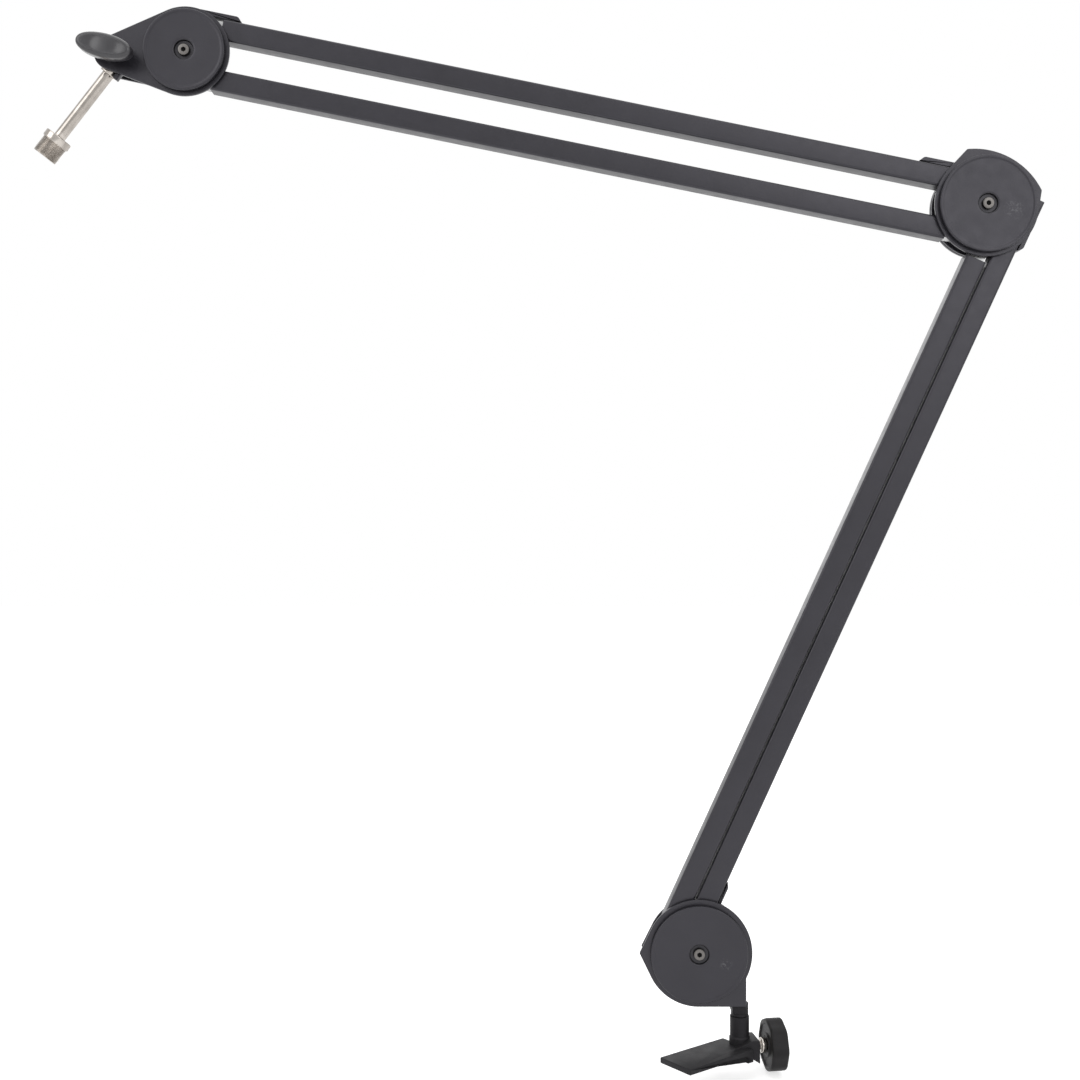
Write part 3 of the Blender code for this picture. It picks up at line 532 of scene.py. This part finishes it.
def elbowOutline(size):
    # a circle drawn out to two corners, joined by an arc over their chord c whose radius is
    # (c^2 / 4 + rise^2) / (2 rise)
    s = housingSettings
    drawn = size / s["elbowRadius"]
    high, back, rise = np.array(s["high"]) * drawn, np.array(s["back"]) * drawn, s["rise"] * drawn
    toHigh, toBack = math.atan2(high[1], high[0]), math.atan2(back[1], back[0])
    angles = turns(s["directions"]) + s["firstDirection"]
    radius = np.maximum(cornerRadius(angles, size, toHigh, np.linalg.norm(high)),
                        cornerRadius(angles, size, toBack, np.linalg.norm(back)))
    chord = np.linalg.norm(high - back)
    curve = (chord ** 2 / 4 + rise ** 2) / (2 * rise)
    outward = np.array([(high - back)[1], -(high - back)[0]]) / chord
    middle = (high + back) / 2 - outward * (curve - rise)
    between = (angles > toBack) & (angles < toHigh)
    return angles, ringOf(np.where(between, circleFrom(angles, middle, curve), radius), angles)


def hullOutline(rounds):
    # in direction a the edge lies at the least of h(b) / cos(a - b) over every direction b, where h(b) is
    # the farthest that any of the circles reaches in direction b
    least, farAway = 0.02, 1.0  # a direction b that is nearly square to a, or behind it, sets no bound
    facing = turns(1440)[:, None]
    reach = np.max([x * np.cos(facing) + z * np.sin(facing) + radius for (x, z), radius in rounds], axis=0)
    angles = np.unique(np.concatenate([turns(300), math.pi + np.linspace(-0.3, 0.3, 120)]).round(5))
    between = np.cos(angles[None] - facing)
    radius = np.min(np.where(between > least, reach / np.maximum(between, least), farAway), axis=0)
    return angles, ringOf(radius, angles)


def makeHousing(label, outlines, coverRadii, scuffs):
    # side plates, round covers, bolt and nut about one centre, the rear plate and cover with their own sizes
    centre = centreOf(f"{label}_cover_front")
    s = housingSettings
    for side, low, high, (angles, outline) in (("front", -s["outer"], -s["inner"], outlines[0]),
                                               ("rear", s["inner"], s["outer"], outlines[1])):
        shell = softSlab(outline, low, high, s["edge"], ringOf(s["hole"], angles))
        addPiece(f"{label}Cheek{side.title()}", [placed(shell, centre, planeAxes)], paint.material, label,
                 [f"{label}_cheek_{side}"], sharp=28)
    plastic = makeCoverPlastic(f"{label}Cover", scuffs, centre)
    for side, facing, radius in (("front", -1, coverRadii[0]), ("rear", 1, coverRadii[1])):
        makeCover(f"{label}Cover{side.title()}", label, f"{label}_cover_{side}", centre, facing, radius,
                  plastic)
    makeBolt(label, centre)


def makeCover(name, body, node, centre, facing, radius, plastic):
    # a shallow dished lid turned round the bolt: rounded rim, dished face, rounded well and flat floor
    s = coverShape
    top = s["height"]
    corners = [(s["hole"], 0), (radius - 0.9 * mm, 0), (radius, 0.9 * mm), (radius, top),
               (radius - 1.5 * mm, top), (radius - 2.4 * mm, top - 0.25 * mm),
               (s["recess"] + 4 * s["lip"], top - s["dish"]),
               (s["recess"] + 0.2 * mm, top - s["dish"] - 0.1 * mm), (s["recess"], s["floor"]),
               (s["hole"], s["floor"])]
    easing = np.array([0.1, 0.3, 0.3, 0.6, 0.4, 0.4, 2.5, 1.2, 0.3, 0.1]) * mm
    profile = softCorners(corners, easing, steps=7)
    shell = placed(lathe(profile, 128, wrapRows=True), centre + np.array((0, facing * s["back"], 0)),
                   turnedAxes((0, facing, 0)))
    addPiece(name, [shell], plastic.material, body, [node], sharp=50)


def makeBolt(label, centre):
    # a socket-headed bolt: rows of radius and height, round outside and hexagonal in the well
    s = boltShape
    angles = turns(96)
    top = -(s["seat"] + s["headHeight"])
    hexWell = hexRadius(angles, s["socket"])
    rows = [(0.3 * hexWell, top + s["socketDepth"] + 0.4 * mm), (hexWell, top + s["socketDepth"]),
            (hexWell, top + s["socketEase"]), (hexWell + s["socketEase"], top),
            (s["head"] - 0.7 * mm, top), (s["head"] - 0.3 * mm, top + 0.1 * mm),
            (s["head"] - 0.06 * mm, top + 0.4 * mm), (s["head"], top + 0.8 * mm), (s["head"], -s["seat"]),
            (s["radius"], -s["seat"]), (s["radius"], s["seat"] + s["nutHeight"] - s["tipEase"]),
            (s["radius"] - s["tipEase"], s["seat"] + s["nutHeight"])]
    addPiece(f"{label}Bolt", [placed(gridShell(ringRows(angles, rows)), centre, planeAxes)],
             zinc.material, label, [f"{label}_bolt"], sharp=30)
    nut = hexNut(centre, s["nutFlats"], s["radius"] + 0.1 * mm, s["seat"], s["nutHeight"])
    addPiece(f"{label}Nut", [nut], zinc.material, label, [f"{label}_nut"], sharp=30)


def hexNut(centre, flats, bore, seat, height):
    # a hexagon whose corners are cut at both faces by a cone: (radius - 1.02 of the half width) tan 30
    angles = turns(144)
    outer = hexRadius(angles, flats)
    side, top, ease = flats / 2, seat + height, 0.3 * mm
    cut = np.maximum(outer - side * 1.02, 0) * math.tan(math.radians(30))
    rows = [(bore, seat), (side * 0.98, seat), (outer, seat + cut), (outer, top - cut),
            (side * 0.98, top), (bore + ease, top), (bore, top - ease)]
    return placed(gridShell(ringRows(angles, rows), wrapRows=True), centre, planeAxes)


def scuffOn(label):
    # a rubbed patch on the front cover: how far right of and above its centre, and its radius
    right, up, radius = housingSettings[f"{label}Scuff"]
    centre = centreOf(f"{label}_cover_front")
    return (centre[0] + right, -(coverShape["back"] + coverShape["height"]), centre[2] + up), radius


frontSize, rearSize = housingSettings["radius"], housingSettings["rearRadius"]
roundCovers = [coverShape["radius"]] * 2
makeHousing("base", [baseOutline(frontSize), baseOutline(rearSize)], roundCovers, [scuffOn("base")])
elbowSizes = housingSettings["elbowRadius"], housingSettings["elbowRearRadius"]
makeHousing("elbow", [elbowOutline(size) for size in elbowSizes], roundCovers, [scuffOn("elbow")])
pinHigh = (centreOf("head_pin_top") - centreOf("head_cover_front"))[[0, 2]]
noseRound = (housingSettings["nose"], housingSettings["noseRadius"])
headFront = hullOutline([((0, 0), housingSettings["headRadius"]), noseRound])
headRear = hullOutline([((0, 0), housingSettings["headRearRadius"]), noseRound,
                        (pinHigh, housingSettings["pinRadius"])])
makeHousing("head", [headFront, headRear], [coverShape["headRadius"], coverShape["headRearRadius"]], [])
print("housings made")


# microphone stud
studSettings = {"lean": math.radians(37.8), "offset": 3.3 * mm, "rod": 3.6 * mm, "rodStart": 3.8 * mm,
                "rodEnd": 63.2 * mm, "flange": 8.5 * mm, "flangeStart": 58.7 * mm, "flangeEnd": 63.2 * mm,
                "thread": 7.94 * mm, "threadDepth": 0.5 * mm, "pitch": 0.941 * mm, "end": 73.8 * mm,
                "block": 6.6 * mm, "nubNear": 9.2 * mm, "nubFar": 12.2 * mm, "nubReach": 10.6 * mm,
                "nubDepth": 4.0 * mm, "blockDeep": 6.55 * mm, "collar": 5.4 * mm, "collarStart": 6.9 * mm,
                "collarEnd": 10.6 * mm}
nose = pivotAt["stud_tilt"]
downAlong = np.array((-math.sin(studSettings["lean"]), 0, -math.cos(studSettings["lean"])))
aside = np.array((math.cos(studSettings["lean"]), 0, -math.sin(studSettings["lean"])))
studAxes = [aside, np.cross(downAlong, aside), downAlong]
studOrigin = nose + aside * studSettings["offset"]


def threadShell(radius, depth, pitch, low, high, columns=96, perTurn=10, taper=0.8):
    # radius - depth times a clipped triangle wave of height / pitch - angle / full turn, which fades out
    # at both ends; the last pitch also narrows by the depth
    count = int((high - low) / pitch * perTurn) + 1
    height = np.linspace(low, high, count)[:, None]
    angles = turns(columns)[None]
    phase = (height / pitch - angles / (2 * math.pi)) % 1
    slope, rootFlat = 2.6, 0.2
    ridge = np.clip(np.abs(phase - 0.5) * slope - rootFlat, 0, 1)
    fade = np.clip(np.minimum(height - low, high - height) / (taper * pitch), 0, 1)
    end = np.clip(1 - (high - height) / pitch, 0, 1) * depth
    size = radius - depth * (1 - ridge) * fade - end
    points = np.stack([size * np.cos(angles), size * np.sin(angles), np.broadcast_to(height, size.shape)],
                      axis=-1)
    return gridShell(points)


def makeStud():
    # the rod with its flange, threaded end and collar, and the block with a nub that carries it
    s = studSettings
    rod = lathe(softCorners([(0.2 * mm, s["rodStart"]), (s["rod"], s["rodStart"]), (s["rod"], s["rodEnd"]),
                             (0.2 * mm, s["rodEnd"])], 0.3 * mm, closed=False), 96)
    addPiece("studRod", [placed(rod, studOrigin, studAxes)], nickel.material, "stud", ["stud_rod"])
    bore = s["rod"] + 0.25 * mm
    flange = lathe(softCorners([(bore, s["flangeStart"]), (s["flange"], s["flangeStart"]),
                                (s["flange"], s["flangeEnd"]), (bore, s["flangeEnd"])],
                               np.array([0.1, 0.6, 0.5, 0.1]) * mm), 128, wrapRows=True)
    thread = threadShell(s["thread"], s["threadDepth"], s["pitch"], s["flangeEnd"] - 0.1 * mm, s["end"])
    addPiece("studThread", [placed(flange, studOrigin, studAxes), placed(thread, studOrigin, studAxes)],
             nickel.material, "stud", ["stud_thread"], sharp=50)
    collar = lathe(softCorners([(bore, s["collarStart"]), (s["collar"], s["collarStart"]),
                                (s["collar"], s["collarEnd"]), (bore, s["collarEnd"])],
                               np.array([0.1, 0.5, 0.7, 0.1]) * mm), 96, wrapRows=True)
    addPiece("studCollar", [placed(collar, studOrigin, studAxes)], nickel.material, "stud",
             ["stud_collar"])
    half = s["block"]
    corners = softCorners([(half, 0), (half, half), (-half, half), (-half, 0)], 0.7 * mm, closed=False)
    outline = np.concatenate([corners, ringOf(half, np.linspace(math.pi, 2 * math.pi, 40)[1:-1])])
    block = softSlab(outline, -s["blockDeep"], s["blockDeep"], 0.5 * mm)
    reach = s["nubReach"]
    hook = softCorners([(2.0 * mm, 1.4 * mm), (s["nubFar"], 1.4 * mm), (s["nubFar"], reach),
                        (s["nubNear"], reach), (s["nubNear"], half - 0.3 * mm),
                        (2.0 * mm, half - 0.3 * mm)], 0.6 * mm)
    nub = softSlab(hook, -s["blockDeep"] + 0.1 * mm, -s["blockDeep"] + s["nubDepth"], 0.4 * mm)
    blockAxes = [aside, downAlong, (0, 1, 0)]
    addPiece("studBlock", [placed(block, nose, blockAxes), placed(nub, nose, blockAxes)],
             paint.material, "stud", ["stud_block"])


makeStud()
print("stud made")


# wing knob, its bolt and its nut
wingSettings = {"long": 16.9 * mm, "wide": 7.2 * mm, "turn": math.radians(-13), "back": 15.65 * mm,
                "front": 23.95 * mm, "rim": 2.4 * mm, "scoop": 0.7 * mm, "scoopAt": 0.55,
                "scoopWidth": 0.26, "hub": 5.6 * mm, "hubBack": 9.15 * mm, "bolt": 2.4 * mm,
                "bearing": 0.3 * mm, "nutFlats": 8.0 * mm, "nutHeight": 2.8 * mm}


def makeWing():
    # an ellipse whose front face dips in two scoops either side of the middle; the rim is a quarter circle
    s = wingSettings
    angles = turns(144)
    inner = np.linspace(0.02, 1, 26)
    shrink = np.array([s["long"] - s["rim"], s["wide"] - s["rim"]])
    ring = ringOf(1.0, angles)
    flat = inner[:, None, None] * ring[None] * shrink
    across = np.abs(flat[..., 0]) / shrink[0]
    dip = s["scoop"] * np.exp(-((across - s["scoopAt"]) / s["scoopWidth"]) ** 2) * (1 - inner[:, None] ** 3)
    frontRows = np.concatenate([flat, (-s["front"] + dip)[..., None]], axis=-1)
    bend = np.linspace(0, math.pi / 2, 8)[1:]
    outwards = ring / shrink
    outwards = outwards / np.linalg.norm(outwards, axis=1, keepdims=True)
    rimRows = np.array([np.column_stack([ring * shrink + outwards * s["rim"] * math.sin(b),
                                         np.full(len(ring), -s["front"] + s["rim"] * (1 - math.cos(b)))])
                        for b in bend])
    backEdge = ((0, s["back"] + 1.0 * mm), (0.3 * mm, s["back"] + 0.3 * mm), (1.0 * mm, s["back"]))
    backRows = np.array([np.column_stack([ring * shrink + outwards * (s["rim"] - inset),
                                          np.full(len(ring), -back)]) for inset, back in backEdge])
    closing = np.column_stack([ring * 0.3 * mm, np.full(len(ring), -s["back"])])[None]
    points = np.concatenate([frontRows, rimRows, backRows, closing])
    lean = s["turn"]
    tilted = [(math.cos(lean), 0, math.sin(lean)), (-math.sin(lean), 0, math.cos(lean)), (0, 1, 0)]
    hub = lathe(softCorners([(s["bolt"] + 0.3 * mm, s["hubBack"]), (s["hub"], s["hubBack"]),
                             (s["hub"] + 0.5 * mm, s["back"] + 1.5 * mm),
                             (s["bolt"] + 0.3 * mm, s["back"] + 1.5 * mm)], 0.3 * mm), 96, wrapRows=True)
    addPiece("wingKnob", [placed(gridShell(points), nose, tilted), placed(hub, nose, turnedAxes((0, -1, 0)))],
             gloss.material, "wing", ["wing_knob"], sharp=60)
    nutSeat = housingSettings["outer"] + s["bearing"]
    bolt = threadShell(s["bolt"], 0.3 * mm, 0.8 * mm, -s["back"] - 1.0 * mm, nutSeat + s["nutHeight"],
                       columns=48)
    addPiece("wingBolt", [placed(bolt, nose, planeAxes)], nickel.material, "wing",
             ["wing_bolt"], sharp=50)
    addPiece("noseNut", [hexNut(nose, s["nutFlats"], s["bolt"] + 0.1 * mm, nutSeat, s["nutHeight"])],
             nickel.material, "head", ["nose_nut"], sharp=30)


makeWing()
print("wing made")


# foot, post and lock
footSettings = {"turn": math.radians(38), "length": 54.0 * mm, "width": 25.5 * mm, "thickness": 3.4 * mm,
                "lipFace": 5.8 * mm, "lipBack": 1.0 * mm, "lipDrop": 4.2 * mm, "socket": 5.8 * mm,
                "socketStart": 1.7 * mm, "socketStep": 0.5 * mm, "socketTop": 20.5 * mm, "bore": 4.6 * mm,
                "lugFront": 9.4 * mm, "lugRear": 6.5 * mm, "lugLength": 10.2 * mm, "lugTail": 8.0 * mm,
                "lugCrest": 5.0 * mm, "lugTop": 7.5 * mm, "lugDrop": 6.4 * mm, "lugSole": 0.3 * mm,
                "lockTurn": math.radians(8), "lockHeight": 1.6 * mm, "lockHole": 3.3 * mm,
                "lockHoleStart": 2.2 * mm}
postSettings = {"radius": 5.3 * mm, "right": 2.9 * mm, "spigot": 4.3 * mm, "low": -6.1 * mm,
                "shoulder": 20.6 * mm, "top": 52.0 * mm, "barLow": 23.1 * mm, "deep": 6.55 * mm}
lockSettings = {"start": 5.0 * mm, "radius": 3.0 * mm, "depth": 0.35 * mm, "pitch": 1.0 * mm,
                "collar": 4.6 * mm, "collarStart": 13.1 * mm, "collarEnd": 16.1 * mm, "end": 21.6 * mm,
                "knob": 16.0 * mm, "knobStart": 16.4 * mm, "knobEnd": 26.9 * mm, "lobes": 8,
                "lobeDepth": 0.7 * mm, "rim": 1.6 * mm}


def makeFoot():
    # a bent plate, a lug and a socket joined into one, then bored for the post and the lock screw
    s = footSettings
    turn = s["turn"]
    plateAxes = [(-math.cos(turn), -math.sin(turn), 0), (0, 0, 1), (-math.sin(turn), math.cos(turn), 0)]
    corners = [(s["lipBack"], -s["lipDrop"]), (s["lipFace"], -s["lipDrop"]), (s["lipFace"], 0),
               (s["length"], 0), (s["length"], s["thickness"]), (s["lipBack"], s["thickness"])]
    profile = softCorners(corners, np.array([0.5, 0.5, 0.8, 0.4, 0.4, 1.0]) * mm)
    plate = placed(softSlab(profile, -s["width"] / 2, s["width"] / 2, 0.4 * mm, margin=0), (0, 0, 0),
                   plateAxes)
    lugCorners = [(-s["lugTail"], s["lugSole"]), (0, s["lugSole"]), (s["lugLength"], -s["lugDrop"]),
                  (s["lugLength"], s["lugTop"]), (s["lugCrest"], s["lugTop"]),
                  (-s["lugTail"], s["thickness"] / 2)]
    lugOutline = softCorners(lugCorners, np.array([0.4, 1.0, 0.6, 0.8, 1.6, 0.4]) * mm)
    lugAxes = [(math.cos(s["lockTurn"]), math.sin(s["lockTurn"]), 0), (0, 0, 1),
               (-math.sin(s["lockTurn"]), math.cos(s["lockTurn"]), 0)]
    lug = placed(softSlab(lugOutline, -s["lugFront"], s["lugRear"], 0.2 * mm, margin=0), (0, 0, 0), lugAxes)
    wide = s["socket"] + s["socketStep"]
    socketCorners = [(0.1 * mm, s["socketStart"]), (wide, s["socketStart"]), (wide, s["lugTop"] + 0.1 * mm),
                     (s["socket"], s["lugTop"] + 0.8 * mm), (s["socket"], s["socketTop"]),
                     (0.1 * mm, s["socketTop"])]
    socket = lathe(softCorners(socketCorners, np.array([0.1, 0.2, 0.4, 0.6, 0.3, 0.1]) * mm, closed=False))
    bore = lathe([(s["bore"], -2 * s["lugDrop"]), (s["bore"], 2 * s["socketTop"])])
    hole = placed(lathe([(s["lockHole"], s["lockHoleStart"]), (s["lockHole"], 2 * s["lugLength"])], 64),
                  (0, 0, s["lockHeight"]), turnedAxes(axisOf["lock_turn"]))
    foot = meshObject("footBody", [plate])
    tools = [(meshObject("lugTool", [lug]), "UNION"), (meshObject("socketTool", [socket]), "UNION"),
             (meshObject("boreTool", [bore]), "DIFFERENCE"), (meshObject("holeTool", [hole]), "DIFFERENCE")]
    for tool, operation in tools:
        step = foot.modifiers.new(tool.name, "BOOLEAN")
        step.operation = operation
        step.object = tool
        step.solver = "EXACT"
    solid = bpy.data.meshes.new_from_object(foot.evaluated_get(bpy.context.evaluated_depsgraph_get()))
    foot.modifiers.clear()
    foot.data = solid
    for tool, _ in tools:
        bpy.data.objects.remove(tool)
    finishMesh(solid, footPaint.material, 30)
    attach(foot, "foot")
    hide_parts("foot")


def makePost():
    # a stepped round bar, and the flat-sided block that the two base plates are fixed to
    s = postSettings
    corners = [(0.1 * mm, s["low"]), (s["spigot"], s["low"]), (s["spigot"], s["shoulder"]),
               (s["radius"], s["shoulder"]), (s["radius"], s["barLow"] + s["radius"]),
               (0.1 * mm, s["barLow"] + s["radius"])]
    profile = softCorners(corners, np.array([0.1, 0.4, 0.1, 0.4, 0.3, 0.1]) * mm, closed=False)
    outline = softCorners([(-s["radius"], -s["deep"]), (s["right"], -s["deep"]), (s["right"], s["deep"]),
                           (-s["radius"], s["deep"])], 0.6 * mm)
    addPiece("swivelPost", [lathe(profile), softSlab(outline, s["barLow"], s["top"], 0.5 * mm)],
             footPaint.material, "base", ["swivel_post"])


def makeLock():
    # the knob's radius is R - d(1 - cos(n a)) / 2, and both its rims are rounded
    s = lockSettings
    axes = turnedAxes(axisOf["lock_turn"])
    origin = pivotAt["lock_turn"]
    screw = threadShell(s["radius"], s["depth"], s["pitch"], s["start"], s["collarStart"] + 0.1 * mm,
                        columns=64)
    corners = [(0.1 * mm, s["collarStart"]), (s["collar"], s["collarStart"]), (s["collar"], s["collarEnd"]),
               (s["radius"], s["collarEnd"]), (s["radius"], s["end"]), (0.1 * mm, s["end"])]
    collar = lathe(softCorners(corners, np.array([0.1, 0.5, 0.5, 0.1, 0.3, 0.1]) * mm, closed=False))
    addPiece("lockScrew", [placed(screw, origin, axes), placed(collar, origin, axes)],
             nickel.material, "lock", ["lock_screw"], sharp=50)
    angles = turns(192)
    outer = s["knob"] - s["lobeDepth"] * (1 - np.cos(s["lobes"] * angles)) / 2
    bend = np.linspace(0, math.pi / 2, 7)
    low, high, rim = s["knobStart"], s["knobEnd"], s["rim"]
    bore = s["radius"] + 0.25 * mm
    rows = [(bore, low + 0.4 * mm), (5.2 * mm, low + 0.4 * mm), (5.6 * mm, low), (6.8 * mm, low),
            (7.4 * mm, low + 0.9 * mm), (outer * 0.78, low + 0.9 * mm), (outer * 0.84, low)]
    rows += [(outer - rim * (1 - math.sin(b)), low + rim * (1 - math.cos(b))) for b in bend]
    rows += [(outer - rim * (1 - math.sin(b)), high - rim * (1 - math.cos(b))) for b in bend[::-1]]
    rows += [(outer * 0.8, high), (outer * 0.72, high - 0.5 * mm), (outer * 0.4, high - 0.5 * mm),
             (bore, high - 0.5 * mm)]
    shell = gridShell(ringRows(angles, rows), wrapRows=True)
    addPiece("lockKnob", [placed(shell, origin, axes)], knobPlastic.material, "lock",
             ["lock_knob"], sharp=40)


makeFoot()
makePost()
makeLock()
print("foot made")


# pins and plugs keep the frame's own shapes and get a finish
keptFinishes = {"_pin_": nickel, "_plug_": springSteel}
for name, node in nodes.items():
    for part, finish in keptFinishes.items():
        if part in name:
            node.data.materials.clear()
            node.data.materials.append(finish.material)


# floor, world and lamps
stageSettings = {"floor": -0.0160, "size": 12.0, "colour": 0.86, "glow": 0.62,
                 "middle": (-0.12, 0, 0.32)}
worldSettings = {"seen": 1.0, "fill": 0.5}
lampSettings = {
    "keyRight": {"place": (1.0, -1.9, 1.3), "size": 1.4, "power": 12.0},
    "topSoft": {"place": (0.0, -0.1, 2.2), "size": 2.2, "power": 16.0},
    "fillLeft": {"place": (-1.6, -1.4, 1.4), "size": 1.4, "power": 13.0},
    "rimBack": {"place": (-0.4, 1.8, 1.2), "size": 1.6, "power": 6.0},
}


def makeStage():
    # matt paper that also glows evenly for the camera and for reflections, so that it shows as white
    s = stageSettings
    half = s["size"] / 2
    mesh = bpy.data.meshes.new("floor")
    mesh.from_pydata([(-half, -half, s["floor"]), (half, -half, s["floor"]), (half, half, s["floor"]),
                      (-half, half, s["floor"])], [], [(0, 1, 2, 3)])
    floor = bpy.data.objects.new("floor", mesh)
    bpy.context.scene.collection.objects.link(floor)
    made = bpy.data.materials.new("floorPaper")
    made.use_nodes = True
    tree = made.node_tree
    tree.nodes.clear()
    paper = tree.nodes.new("ShaderNodeBsdfDiffuse")
    paper.inputs["Color"].default_value = (s["colour"], s["colour"], s["colour"], 1)
    glow = tree.nodes.new("ShaderNodeEmission")
    path = tree.nodes.new("ShaderNodeLightPath")
    seen = tree.nodes.new("ShaderNodeMath")
    seen.operation = "MAXIMUM"
    tree.links.new(path.outputs["Is Camera Ray"], seen.inputs[0])
    tree.links.new(path.outputs["Is Glossy Ray"], seen.inputs[1])
    power = tree.nodes.new("ShaderNodeMath")
    power.operation = "MULTIPLY"
    power.inputs[1].default_value = s["glow"]
    tree.links.new(seen.outputs[0], power.inputs[0])
    tree.links.new(power.outputs[0], glow.inputs["Strength"])
    both = tree.nodes.new("ShaderNodeAddShader")
    tree.links.new(paper.outputs[0], both.inputs[0])
    tree.links.new(glow.outputs[0], both.inputs[1])
    end = tree.nodes.new("ShaderNodeOutputMaterial")
    tree.links.new(both.outputs[0], end.inputs["Surface"])
    mesh.materials.append(made)


def makeWorld():
    # the camera, metal and clear pieces all see the same white; matt surfaces get the softer fill
    s = worldSettings
    world = bpy.data.worlds.new("studio")
    world.use_nodes = True
    tree = world.node_tree
    tree.nodes.clear()
    path = tree.nodes.new("ShaderNodeLightPath")
    strength = s["fill"]
    for ray in ("Is Glossy Ray", "Is Camera Ray", "Is Transmission Ray"):
        choice = tree.nodes.new("ShaderNodeMix")
        tree.links.new(path.outputs[ray], choice.inputs[0])
        if isinstance(strength, float):
            choice.inputs[2].default_value = strength
        else:
            tree.links.new(strength, choice.inputs[2])
        choice.inputs[3].default_value = s["seen"]
        strength = choice.outputs[0]
    sky = tree.nodes.new("ShaderNodeBackground")
    tree.links.new(strength, sky.inputs["Strength"])
    sky.inputs["Color"].default_value = (1, 1, 1, 1)
    end = tree.nodes.new("ShaderNodeOutputWorld")
    tree.links.new(sky.outputs[0], end.inputs["Surface"])
    bpy.context.scene.world = world


def makeLamps():
    # square lamps, each turned to the middle of the stand
    target = np.array(stageSettings["middle"])
    for name, s in lampSettings.items():
        data = bpy.data.lights.new(name, "AREA")
        data.shape = "SQUARE"
        data.size = s["size"]
        data.energy = s["power"]
        lamp = bpy.data.objects.new(name, data)
        lamp.location = s["place"]
        away = np.array(s["place"]) - target
        flat = math.hypot(away[0], away[1])
        lamp.rotation_euler = (math.atan2(flat, away[2]), 0, math.atan2(away[0], -away[1]))
        bpy.context.scene.collection.objects.link(lamp)


makeStage()
makeWorld()
makeLamps()
bpy.context.scene.view_settings.view_transform = "Standard"
print("stage made")
